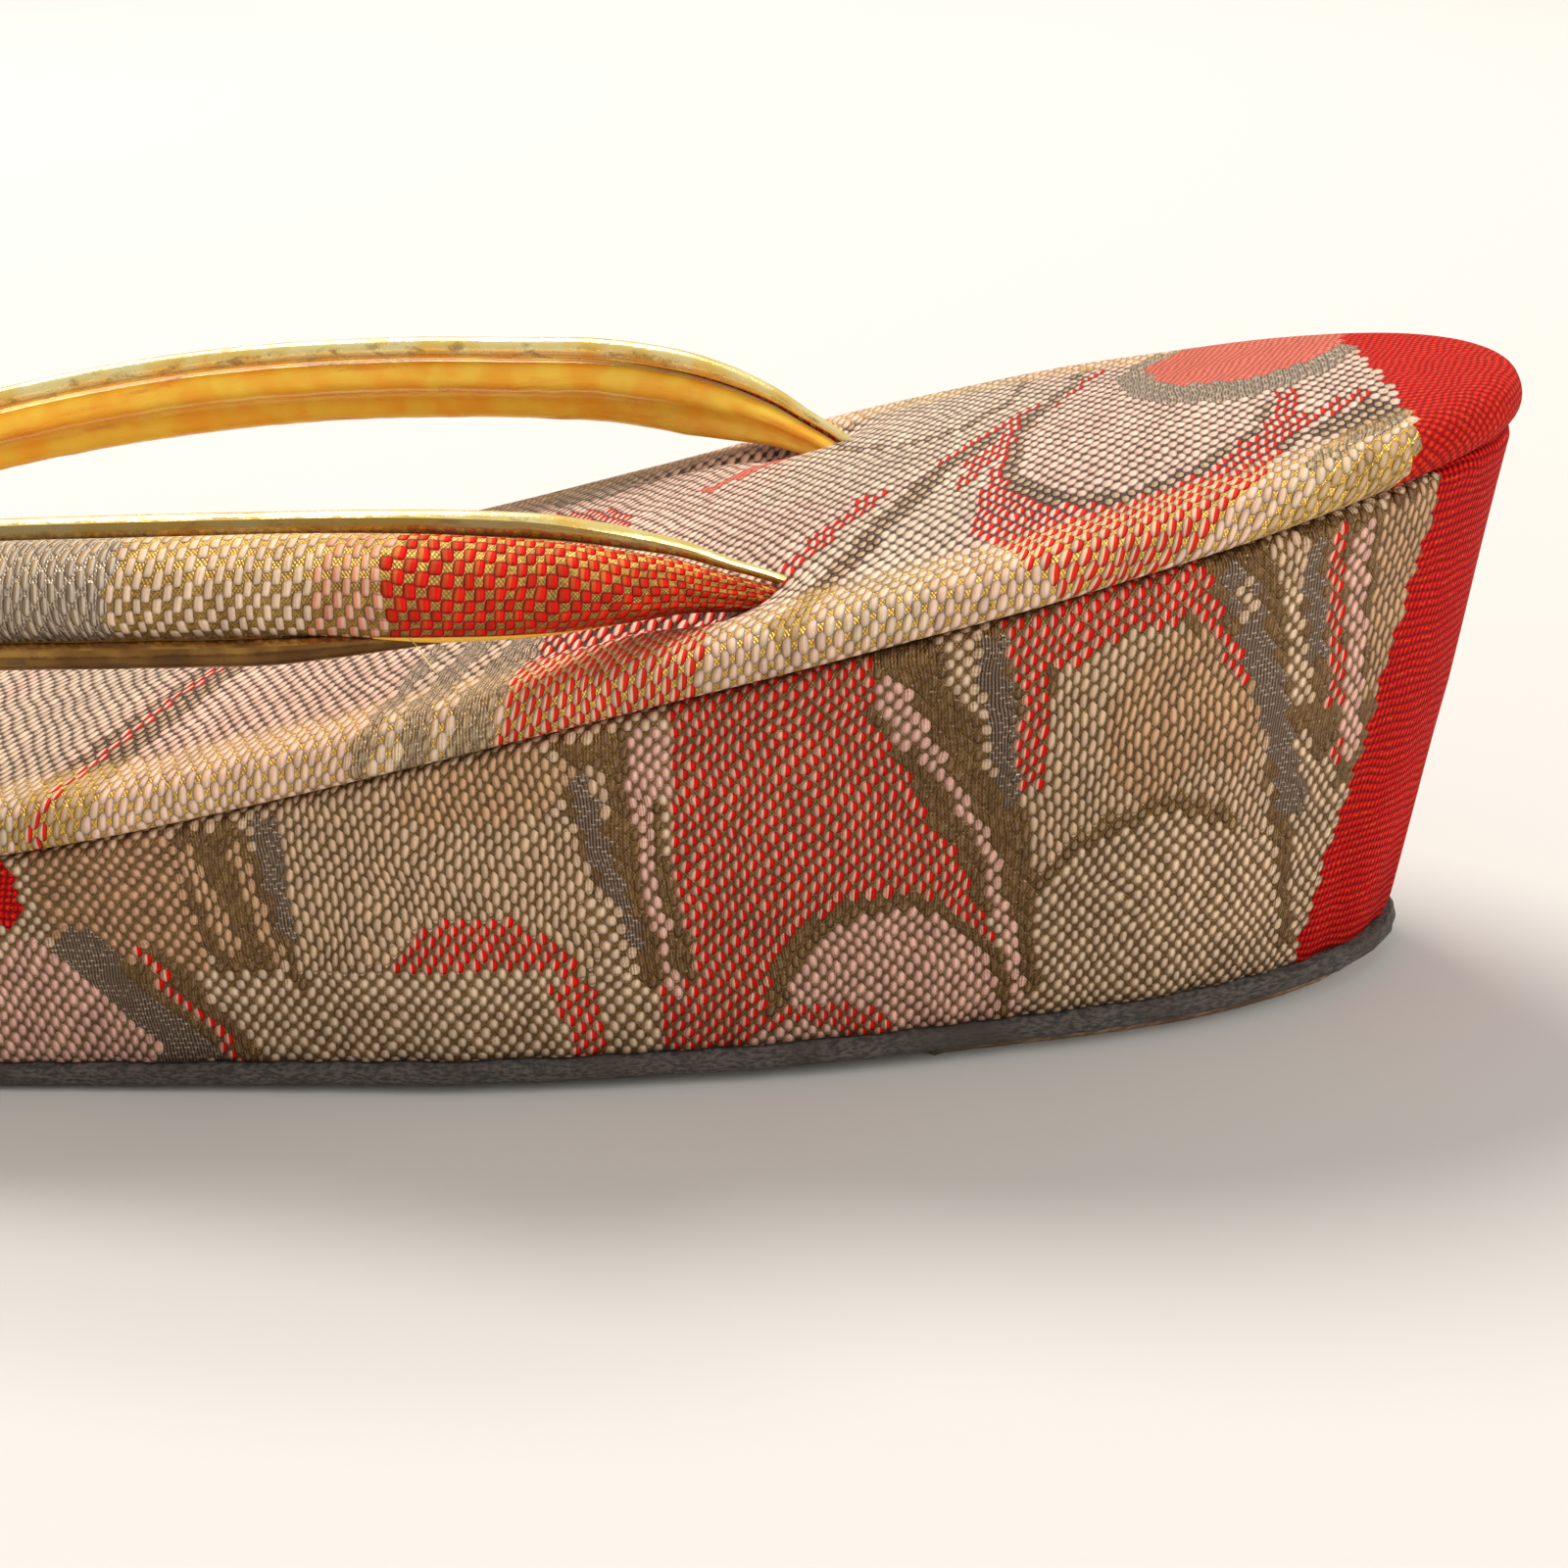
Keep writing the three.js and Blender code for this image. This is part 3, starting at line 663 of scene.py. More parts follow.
# Colour of the stitches: the floats and the ground between
def stitch_group():
    tree, takes, gives = new_group(
        "brocade_stitches",
        {
            "Place": VECTOR, "Along": VALUE, "Across": VALUE, "Chance": VALUE, "Corners": VALUE,
            **FINISH_COLOURS, **FINISH_VALUES,
        },
        {"Colour": COLOUR, "Metal": VALUE, "Roughness": VALUE},
    )
    size = times_plus(tree, takes["Chance"], 0.1, takes["Fill"])
    leaning, dome, on_float = float_dome(tree, takes, size, takes["Drops"], takes["Corners"])
    fibre = fibre_streaks(tree, takes["Place"])
    float_colour = mix(tree, spread(tree, leaning, -0.04, 0.04), takes["Left"], takes["Right"])
    tone_and_dome_shade = times_plus(tree, takes["Chance"], 0.24, times_plus(tree, fibre, 0.4, 0.58))
    # Painted shade: each float is darker towards its edges and brighter on its crown.
    tone_and_dome_shade = times(tree, tone_and_dome_shade, times_plus(tree, dome, 0.5, 0.56))
    float_colour = shade(tree, float_colour, tone_and_dome_shade)

    x, y = split(tree, takes["Place"])
    check = ground_check(tree, x, y)
    speck = cloud(tree, takes["Place"], 2.6, 1.0)[0]
    ground_lit = times_plus(tree, speck, 1.0, times_plus(tree, check, 0.5, 0.05))
    ground = shade(tree, takes["Ground"], ground_lit)
    thread_colour = mix(tree, thread_wave(tree, x), THREAD_SHADOW, takes["Left"])
    thread_colour = mix(tree, times(tree, tick_marks(tree, takes["Place"]), 0.6), thread_colour, THREAD_TICK)
    patchy = times_plus(tree, speck, 0.6, takes["Threads"])
    on_threads = times(tree, takes["Threads"], spread(tree, patchy, 0.72, 0.86))
    ground = mix(tree, times(tree, on_threads, 1.4, clamp=True), ground, thread_colour)
    colour = mix(tree, on_float, ground, float_colour)

    rib_wave, row_wave = rib_waves(tree, x, y)
    # Painted shade: ribs light on their tops, dark in their grooves, with painted glints on the row crests.
    lit_rib_tops = times(tree, spread(tree, rib_wave, 0.0, 0.7), spread(tree, row_wave, 0.0, 0.45))
    glint = times(tree, spread(tree, row_wave, 0.7, 0.95), spread(tree, speck, 0.55, 0.63))
    shaded_rib_colour = mix(tree, lit_rib_tops, takes["Right"], takes["Left"])
    shaded_rib_colour = mix(tree, times(tree, glint, 0.3), shaded_rib_colour, RIB_GLINT)
    between = calc(tree, "SUBTRACT", 1.0, on_float)
    bare = times(tree, between, calc(tree, "SUBTRACT", 1.0, takes["Ribs"]))
    feed(tree, gives["Colour"], mix(tree, takes["Ribs"], colour, shaded_rib_colour))
    feed(tree, gives["Metal"], times(tree, bare, times_plus(tree, check, 0.4, 0.3)))
    feed(tree, gives["Roughness"], mix_value(tree, bare, 0.78, 0.36))
    return tree


PALETTE = palette_group()
RELIEF = relief_group()
STITCHES = stitch_group()


# Zones of the brocade's figure, painted one over the other. Each is an ellipse or a box, by its centre and
# half sizes in millimetres on the piece's chart, turned clockwise by degrees.
Zone = namedtuple("Zone", "finish form along across half_along half_across turn")
ROUND = "round"
BOX = "box"

WALL_ZONES = (
    Zone("bare", BOX, 40, 36, 22, 14, 6),
    Zone("cream_drops", ROUND, 46, 28, 11.5, 15.5, 4),
    Zone("tan", ROUND, 42.6, 34, 7.4, 8.6, -4),
    Zone("cream_drops", BOX, 38, 24, 6, 3.4, -30),
    Zone("cream_dim", ROUND, 44.5, 9, 13.6, 17, 0),
    Zone("cream", ROUND, 44, 8, 14.2, 16.2, 0),
    Zone("cream", BOX, 35, 12, 9.5, 7.5, 10),
    Zone("tan", BOX, 22, 42, 3.2, 9.6, 6),
    Zone("cream", BOX, 27, 15, 2.6, 12, 8),
    Zone("bare", BOX, 30.4, 16, 0.8, 9, 14),
    Zone("pink", BOX, 26.4, 38, 1.1, 12, 8),
    Zone("two_tone", BOX, 29, 41, 0.8, 9, 9),
    Zone("two_tone", BOX, 26.6, 27.2, 0.9, 1.5, 24),
    Zone("grey", BOX, 31.6, 43.4, 0.9, 6.4, 12),
    Zone("cream", BOX, 33.4, 41, 1.0, 8.4, 14),
    Zone("cream", BOX, 28.6, 23, 1.2, 8, 20),
    Zone("grey", BOX, 35, 35, 1.3, 14, 20),
    Zone("cream", BOX, 38.4, 44.6, 0.8, 2, 20),
    Zone("two_tone", BOX, 48, 46.2, 6.4, 3.0, 9),
    Zone("two_tone", BOX, 39.6, 40.6, 0.8, 4.8, 28),
    Zone("two_tone", BOX, 55.2, 43.6, 3.2, 3.0, 14),
    Zone("cream", BOX, 64, 43.4, 4.4, 1.6, 16),
    Zone("cream_drops", BOX, 34.6, 47.8, 1.6, 2.6, 10),
    Zone("two_tone", BOX, 56.2, 36, 1.3, 7.4, -2),
    Zone("grey", BOX, 58.8, 33.4, 1.1, 11, 4),
    Zone("bare", BOX, 64, 31, 4.2, 15, 18),
    Zone("bare", BOX, 57.4, 17, 1.4, 10, 5),
    Zone("cream", BOX, 60.4, 35, 0.5, 4.6, 6),
    Zone("cream", ROUND, 62, 40.4, 1.2, 1.8, 0),
    Zone("pink", BOX, 67.2, 37.6, 1.3, 4, 24),
    Zone("pink", BOX, 64.2, 32, 0.75, 4.4, 30),
    Zone("pink", BOX, 61, 25.2, 0.7, 5.4, 22),
    Zone("pink", BOX, 58.6, 17, 0.7, 4.6, 18),
    Zone("pink", BOX, 57.4, 8, 0.7, 5, 6),
    Zone("two_tone", BOX, 78.6, 28, 8.2, 16, -4),
    Zone("two_tone", BOX, 70.2, 24.4, 6, 15, 24),
    Zone("two_tone", BOX, 84.6, 9, 5, 6.4, -4),
    Zone("bare", ROUND, 69.5, 5, 11.8, 14.4, 0),
    Zone("pink", ROUND, 69, 5, 10.2, 12.6, 0),
    Zone("two_tone", ROUND, 76, 3.6, 7, 4.8, 0),
    Zone("pink", ROUND, 78.6, 3, 4.6, 3.2, 0),
    Zone("bare", BOX, 91, 24, 3.6, 13, 6),
    Zone("pink", BOX, 88, 34, 2, 3.6, 0),
    Zone("pink", BOX, 89.2, 25, 0.8, 8, 3),
    Zone("pink", BOX, 88.6, 14, 0.5, 4, 2),
    Zone("cream_drops", BOX, 93.4, 31.4, 1.4, 2.4, 0),
    Zone("grey", BOX, 92.9, 24.5, 0.9, 9.4, 10),
    Zone("cream_drops", ROUND, 108.6, 19, 15, 16, 4),
    Zone("cream_drops", BOX, 113, 24, 7.2, 10, 0),
    Zone("tan", ROUND, 102, 31.6, 8, 3.6, 12),
    Zone("cream", BOX, 92.4, 12, 1.2, 8.5, 8),
    Zone("two_tone", ROUND, 104.5, 7, 10, 11.7, 0),
    Zone("cream", BOX, 112, 7, 14.5, 6, 0),
    Zone("cream", BOX, 102.5, 5, 4, 6.8, 12),
    Zone("two_tone", BOX, 96.8, 7.6, 1.3, 4.2, 14),
    Zone("grey", BOX, 121.4, 23, 1, 7, 2),
    Zone("bare", BOX, 125.6, 20, 3.6, 9, 10),
    Zone("tan", BOX, 123.6, 21, 0.7, 6.6, 8),
    Zone("tan", BOX, 127.6, 21, 0.8, 6.6, 16),
    Zone("cream", BOX, 124.6, 8.4, 3.4, 5, 8),
    Zone("tan_short", BOX, 136, 20, 6.8, 7.4, 4),
    Zone("bare", BOX, 131, 9, 2.2, 7, 34),
    Zone("grey", BOX, 136.6, 9.8, 2.5, 8.6, 36),
    Zone("two_tone", BOX, 131.2, 9.4, 0.6, 7.4, 32),
    Zone("pink", BOX, 145, 6.5, 7.4, 8.4, 36),
    Zone("red", ROUND, 149.6, 22.4, 5.2, 4.8, -10),
    Zone("red", BOX, 9.6, 30, 13, 60, -9.4),
)

TOP_ZONES = (
    Zone("top_pink", BOX, 29, 4, 26, 40, 0),
    Zone("top_sparse", BOX, 17, -20, 7, 11, -45),
    Zone("top_cream", BOX, 15.4, -19, 1.2, 11, -46),
    Zone("top_grey", BOX, 13.2, -15.5, 0.8, 10, -46),
    Zone("top_pink", BOX, 22.4, -23, 1.8, 9, -28),
    Zone("top_two_tone", ROUND, 34.4, -3, 14.6, 31, -3),
    Zone("top_sparse", ROUND, 33.4, -2, 11.6, 20, -6),
    Zone("top_pink", ROUND, 33, -1.4, 10.7, 18.4, -6),
    Zone("top_pink", BOX, 27, 15, 15, 15, 0),
    Zone("top_two_tone", BOX, 19.6, -9.6, 1.3, 7, -50),
    Zone("top_grey", ROUND, 24.6, 15.5, 10.8, 14.6, 0),
    Zone("top_rose", ROUND, 23.6, 18.6, 9, 11, 0),
    Zone("top_pink", BOX, 39.5, 14, 3.2, 12, -10),
    Zone("top_cream", BOX, 51.4, -20, 4, 16, -6),
    Zone("top_sparse", BOX, 56.2, -20, 1.6, 16, -17),
    Zone("top_cream", BOX, 59.6, -22, 1.5, 13, -17),
    Zone("top_sparse", BOX, 47.4, 4, 1, 12, -30),
    Zone("top_two_tone", BOX, 60.6, -16, 1.2, 9, -24),
    Zone("top_two_tone", BOX, 52.6, -0.6, 0.8, 9, -38),
    Zone("top_two_tone", BOX, 46.4, 0, 0.8, 10, -12),
    Zone("top_two_tone", BOX, 39.8, 18, 0.7, 7, -20),
    Zone("top_sparse", BOX, 41.4, 16, 0.7, 12, -14),
    Zone("top_cream", BOX, 58, 14, 12, 16, -30),
    Zone("top_sparse", ROUND, 54.4, 25, 9.6, 15.4, 0),
    Zone("top_cream", ROUND, 54.2, 25.4, 8.8, 14.6, 0),
    Zone("top_pink", BOX, 84, 14, 17, 26, -14),
    Zone("top_rose", BOX, 70.6, 18, 1.1, 7, -42),
    Zone("top_two_tone", ROUND, 101, 8, 19, 15, -12),
    Zone("top_sparse", ROUND, 102, 9, 15, 11.6, -12),
    Zone("top_cream", ROUND, 102.4, 9.4, 13.9, 10.5, -12),
    Zone("top_rose", ROUND, 105, 10, 7.4, 5.2, -12),
    Zone("top_sparse", BOX, 124, 10, 1.1, 24, -22),
    Zone("top_two_tone", BOX, 127.4, 12, 1.2, 20, -25),
    Zone("top_grey", BOX, 132, 10, 1.5, 18, -22),
    Zone("top_sparse", ROUND, 88, 32, 9, 8, 14),
    Zone("top_cream", ROUND, 88.2, 32.4, 8, 7.2, 14),
    Zone("top_two_tone", BOX, 75.6, -30, 8.4, 12, -3),
    Zone("top_grey", BOX, 90, -30, 6, 12, -6),
    Zone("top_cream", BOX, 88.6, -30, 1, 12, -6),
    Zone("top_cream", BOX, 93.4, -30, 1, 12, -6),
    Zone("top_pink", BOX, 107.4, -28, 10.6, 14, 0),
    Zone("top_sparse", BOX, 121.6, -24, 3.2, 18, -12),
    Zone("top_two_tone", BOX, 122.6, -24, 0.7, 18, -12),
    Zone("top_cream", BOX, 134, -18, 8.6, 20, -8),
    Zone("top_red", BOX, 2.6, 0, 10, 44, 6.5),
)

STRAP_ZONES = (
    Zone("strap_red", BOX, 15, 0, 26, 14, -4),
    Zone("strap_mix", BOX, 43.4, 0, 2.8, 16, -6),
    Zone("strap_cream", BOX, 54.4, 0, 8.4, 16, -8),
    Zone("strap_grey", BOX, 70, 0, 7.6, 16, -8),
    Zone("strap_mix", BOX, 80, 0, 2.6, 16, -12),
    Zone("strap_red", BOX, 88, 0, 5.8, 16, -12),
    Zone("strap_cream", BOX, 99, 0, 5.6, 16, -14),
    Zone("strap_grey", BOX, 110, 0, 5.6, 16, -14),
    Zone("strap_red", BOX, 121, 0, 5.6, 16, -14),
)


def zone_axes(zone):
    """What turns a place, with 1 as its third number, into shares of the zone's half sizes."""
    turn = np.radians(zone.turn)
    lengthwise = (np.cos(turn), -np.sin(turn), zone.half_along)
    crosswise = (np.sin(turn), np.cos(turn), zone.half_across)
    axes = []
    for x, y, half in (lengthwise, crosswise):
        axes.append((x / half, y / half, -(x * zone.along + y * zone.across) / half))
    return axes


def zone_span(zone):
    """Where the zone starts and ends along the chart."""
    turn = np.radians(zone.turn)
    reach = abs(zone.half_along * np.cos(turn)) + abs(zone.half_across * np.sin(turn))
    return zone.along - reach, zone.along + reach


# A figure is its zones over a ground finish. Past repeat_from it starts again, repeat_by further back on the
# chart, and between two cuts the chart has a material of its own.
Figure = namedtuple("Figure", "zones ground repeat_from repeat_by cuts")

# Pitch and row of the float stitches in millimetres, their size in the relief and how square they are
Lattice = namedtuple("Lattice", "pitch row fill corners")

# How far past a cut a zone still counts, because the lattice drifts and a float takes its centre's finish
CUT_OVERLAP = 3.0


def figure_group(name, zones, figure):
    """Finish at a place on the chart."""
    tree, takes, gives = new_group(name, {"Place": VECTOR}, {"Finish": VALUE})
    x, y = split(tree, takes["Place"])
    back = times(tree, calc(tree, "GREATER_THAN", x, figure.repeat_from), figure.repeat_by)
    place = join(tree, calc(tree, "SUBTRACT", x, back), y, 1.0)
    finish = finish_share(figure.ground)
    for zone in zones:
        along, across = (vector_calc(tree, "DOT_PRODUCT", place, axis) for axis in zone_axes(zone))
        if zone.form == ROUND:
            reach = times_plus(tree, along, along, times(tree, across, across))
        else:
            reach = calc(tree, "MAXIMUM", calc(tree, "ABSOLUTE", along), calc(tree, "ABSOLUTE", across))
        inside = calc(tree, "LESS_THAN", reach, 1.0)
        finish = mix_value(tree, inside, finish, finish_share(zone.finish))
    feed(tree, gives["Finish"], finish)
    return tree


def new_material(name):
    material = bpy.data.materials.new(name)
    material.use_nodes = True
    tree = material.node_tree
    return material, tree, tree.nodes["Principled BSDF"]


def brocade_material(name, finish_at, lattice):
    material, tree, shader = new_material(name)
    weave = node(tree, "ShaderNodeAttribute", attribute_name="weave").outputs
    chart = node(tree, "ShaderNodeUVMap", uv_map="cloth").outputs[0]
    drift = cloud(tree, chart, 0.16, 1.0)["Color"]
    place = vector_calc(tree, "MULTIPLY_ADD", drift, (1.4, 1.4, 0.0), chart)
    cell = use_group(tree, CELL, {"Place": place, "Pitch": lattice.pitch, "Row": lattice.row})
    chance = cell_chance(tree, cell)
    finish = use_group(tree, finish_at, {"Place": cell["Centre"]})["Finish"]
    palette = use_group(tree, PALETTE, {"Finish": finish})
    inputs = {label: palette[label] for label in (*FINISH_COLOURS, *FINISH_VALUES)}
    inputs.update({"Along": cell["Along"], "Across": cell["Across"]})
    inputs.update({"Place": place, "Chance": chance, "Corners": lattice.corners})

    # Painted glints: ground and floats' right halves turned bright gold by the weave's fourth share.
    glint = times(tree, calc(tree, "ADD", chance, 0.5), calc(tree, "SUBTRACT", 1.0, palette["Ribs"]))
    painted_glint_share = times(tree, weave["Alpha"], glint, clamp=True)
    inputs["Ground"] = mix(tree, painted_glint_share, palette["Ground"], GOLD_GLINT)
    inputs["Right"] = mix(tree, times(tree, painted_glint_share, 0.3), palette["Right"], GOLD_GLINT)
    stitches = use_group(tree, STITCHES, inputs)

    here = node(tree, "ShaderNodeTexCoord").outputs["Object"]
    height = node(tree, "ShaderNodeSeparateXYZ", {0: here}).outputs[2]
    # Darker towards the floor, and clouded at random.
    near_floor = spread(tree, height, 3 * MM, 11 * MM, 0.8, 1.0)
    cloudy = spread(tree, cloud(tree, here, 45.0, 2.0)[0], 0.3, 0.7, 0.9, 1.08)
    darker_low_and_clouded = shade(tree, stitches["Colour"], times(tree, near_floor, cloudy))
    feed(tree, shader.inputs["Base Color"], darker_low_and_clouded)
    feed(tree, shader.inputs["Metallic"], stitches["Metal"])
    feed(tree, shader.inputs["Roughness"], stitches["Roughness"])
    shader.inputs["Specular IOR Level"].default_value = 0.12
    floats = {"Pitch": lattice.pitch, "Row": lattice.row, "Fill": lattice.fill, "Corners": lattice.corners}
    relief = use_group(tree, RELIEF, {"Place": place, "Weave": weave["Color"], **floats})
    raise_surface(tree, shader, relief["Height"], 0.5)
    return material


def split_figure(name, figure, lattice):
    """Materials for lengths of the chart between cuts, each with the zones that reach it."""
    materials = []
    for start, end in zip(figure.cuts, figure.cuts[1:]):
        back = figure.repeat_by if start >= figure.repeat_from else 0.0
        low = start - back - CUT_OVERLAP
        high = end - back + CUT_OVERLAP
        near = [zone for zone in figure.zones if zone_span(zone)[0] < high and zone_span(zone)[1] > low]
        label = f"{name}_{len(materials) + 1}"
        finish_at = figure_group(f"{label}_figure", near, figure)
        materials.append(brocade_material(label, finish_at, lattice))
    return materials


def weave_reader(figure, painted_glints_at):
    """Kind of weave at places on the chart: threads, ribs, drops, and how far the ground is painted with
    gold glints.
    """
    kinds = np.array([(smooth_step(0.7, 0.3, f.fill), f.ribs, f.drops) for f in FINISHES.values()])

    def read(places):
        x = places[:, 0] - figure.repeat_by * (places[:, 0] > figure.repeat_from)
        points = np.stack([x, places[:, 1], np.ones(len(x))], 1)
        finish = np.full(len(x), FINISH_NAMES.index(figure.ground))
        for zone in figure.zones:
            along, across = (points @ np.array(axis) for axis in zone_axes(zone))
            if zone.form == ROUND:
                reach = along**2 + across**2
            else:
                reach = np.maximum(np.abs(along), np.abs(across))
            finish[reach < 1.0] = FINISH_NAMES.index(zone.finish)
        return np.concatenate([kinds[finish], painted_glints_at(places)[:, None]], 1)

    return read


def make_cloth(name, figure, lattice, painted_glints_at):
    return Cloth(split_figure(name, figure, lattice), figure.cuts, weave_reader(figure, painted_glints_at))


def wall_painted_glints(places):
    """The wall's ground has a little painted gold glint all over."""
    return np.full(len(places), 0.12)


def rim_painted_glints(places):
    """The footbed's cloth has painted gold glints over its rolled rim."""
    half = np.interp(places[:, 0], OUTLINE[:, 1], OUTLINE[:, 0])
    return np.clip(1 - (half - np.abs(places[:, 1]) - 5) / 3, 0, 1)


def strap_painted_glints(places):
    """The strap's cloth has painted gold glints, most along its upper edge."""
    return 0.25 + 0.75 * np.clip((places[:, 1] + 1.5) / 5, 0, 1)


WALL_CLOTH = make_cloth(
    "wall_brocade",
    Figure(WALL_ZONES, "cream", 154.0, 126.0, (-20, 36, 62, 92, 154, 190, 240, 300)),
    Lattice(1.42, 0.86, 0.86, 2.6),
    wall_painted_glints,
)
TOP_CLOTH = make_cloth(
    "footbed_brocade",
    Figure(TOP_ZONES, "top_pink", 143.0, 88.0, (-20, 30, 56, 95, 143, 185, 260)),
    Lattice(1.35, 1.15, 0.98, 2.6),
    rim_painted_glints,
)
STRAP_CLOTH = make_cloth(
    "strap_brocade",
    Figure(STRAP_ZONES, "strap_grey", 400.0, 0.0, (-20, 400)),
    Lattice(1.58, 1.05, 0.8, 4.5),
    strap_painted_glints,
)


# Gilt leather: creased foil over leather, worn to brown in the creases
def crease_group():
    tree, takes, gives = new_group(
        "gilt_creases",
        {"Place": VECTOR, "Along": VALUE, "Across": VALUE},
        {"Height": VALUE, "Worn": VALUE},
    )
    x, y = split(tree, takes["Place"])
    stretched = join(tree, times(tree, x, takes["Along"]), times(tree, y, takes["Across"]))
    folds = cloud(tree, stretched, 1.0, 4.0, 0.6)[0]
    fine = cloud(tree, takes["Place"], 3.2, 3.0)[0]
    feed(tree, gives["Height"], times_plus(tree, fine, 0.35, folds))
    feed(tree, gives["Worn"], spread(tree, times_plus(tree, fine, 0.25, folds), 0.6, 0.42))
    return tree


CREASES = crease_group()


def gilt_material(name, light, deep, worn, folds, depth, metal, painted_shade_band=None):
    """folds are the creases to a millimetre along and across. Over painted_shade_band, from one place across
    its chart to another, the foil is painted dark as painted shade and dark reflection.
    """
    material, tree, shader = new_material(name)
    place = node(tree, "ShaderNodeUVMap", uv_map="cloth").outputs[0]
    creases = use_group(tree, CREASES, {"Place": place, "Along": folds[0], "Across": folds[1]})
    foil = mix(tree, spread(tree, cloud(tree, place, 0.22, 2.0)[0], 0.35, 0.65), light, deep)
    colour = mix(tree, times(tree, creases["Worn"], 0.6), foil, worn)
    # Painted shade and dark reflection: the band is darkened towards the worn colour.
    if painted_shade_band:
        start, end = painted_shade_band
        edge = times_plus(tree, creases["Height"], 0.5, split(tree, place)[1])
        into = spread(tree, edge, start, start + 0.25)
        out_of = spread(tree, edge, end, end - 0.25)
        colour = mix(tree, times(tree, times(tree, into, out_of), 0.7), colour, worn)
    feed(tree, shader.inputs["Base Color"], colour)
    feed(tree, shader.inputs["Metallic"], times_plus(tree, creases["Worn"], -0.3, metal))
    feed(tree, shader.inputs["Roughness"], times_plus(tree, creases["Worn"], 0.25, 0.22))
    raise_surface(tree, shader, creases["Height"], depth)
    return material


def leather_material(name, dark, light, worn, nap_scale):
    """Raw sole leather with a fuzzy cut edge."""
    material, tree, shader = new_material(name)
    here = node(tree, "ShaderNodeTexCoord").outputs["Object"]
    nap = cloud(tree, vector_calc(tree, "MULTIPLY", here, (1.0, 1.0, 3.0)), nap_scale, 5.0)[0]
    patches = cloud(tree, here, 90.0, 3.0)[0]
    colour = mix(tree, spread(tree, nap, 0.35, 0.65), dark, light)
    colour = mix(tree, spread(tree, patches, 0.45, 0.7), colour, worn)
    feed(tree, shader.inputs["Base Color"], colour)
    feed(tree, shader.inputs["Roughness"], spread(tree, patches, 0.3, 0.7, 0.8, 0.95))
    raise_surface(tree, shader, nap, 0.25, 0.8)
    return material


# The upper piping has a band of painted shade on its lower side, next to the strap's face.
PIPING_GILT = gilt_material(
    "piping_gilt", light=paint(255, 240, 170), deep=paint(255, 214, 112), worn=paint(112, 70, 22),
    folds=(0.35, 0.9), depth=0.08, metal=0.74, painted_shade_band=(5.4, 7.2),
)
# The lower piping is a darker copy of the gilt, painted shade under the strap's bulge, with painted shade
# over most of its girth.
SHADED_UNDER_GILT = gilt_material(
    "piping_under_shaded_gilt", light=paint(190, 142, 74), deep=paint(140, 96, 48), worn=paint(64, 40, 20),
    folds=(0.35, 0.9), depth=0.08, metal=0.9, painted_shade_band=(0.9, 6.6),
)
LINING_GILT = gilt_material(
    "lining_gilt", light=paint(255, 212, 70), deep=paint(255, 184, 48), worn=paint(226, 124, 30),
    folds=(0.07, 0.5), depth=0.1, metal=0.1,
)
SOLE_LEATHER = leather_material(
    "sole_leather", dark=paint(46, 42, 40), light=paint(86, 78, 72), worn=paint(60, 52, 46),
    nap_scale=1400.0,
)
HEEL_LEATHER = leather_material(
    "heel_leather", dark=paint(110, 84, 60), light=paint(158, 128, 98), worn=paint(96, 72, 52),
    nap_scale=900.0,
)


# Footbed: the rolled rim from its underside up, as shares of RIM_ROLL and BOARD_THICKNESS
RIM_INSET = (0.75, 0.22, 0.0, 0.05, 0.34, 0.95, 2.2)
RIM_DROP = (1.0, 0.93, 0.72, 0.44, 0.17, 0.03, 0.0)

# Where the strap and the toe loop go in: their distances from the heel, and from the middle line
ROOT_AT = 66.5
ROOT_SIDE = 24.6
LOOP_AT = 193.6


def dent(along, across, half_along, half_across, depth):
    """Depth of a soft round hollow at a distance along and across from its middle."""
    return depth * np.exp(-(along / half_along) ** 2 - (across / half_across) ** 2)


def hollow(s, x):
    """How far the cloth is drawn down round the strap's roots and the toe loop."""
    side = abs(x)
    root = dent(s - ROOT_AT, side - ROOT_SIDE, 5.2, 4.2, 1.9)
    off_crease = side - ROOT_SIDE - 0.16 * (s - ROOT_AT)
    fade = smooth_step(ROOT_AT - 2, ROOT_AT + 4, s) * (1 - smooth_step(ROOT_AT + 9, ROOT_AT + 24, s))
    crease = dent(off_crease, 0.0, 1.3, 1.0, 0.75) * fade
    toe = dent(s - LOOP_AT, side, 4.6, 5.4, 0.9)
    return root + crease + toe


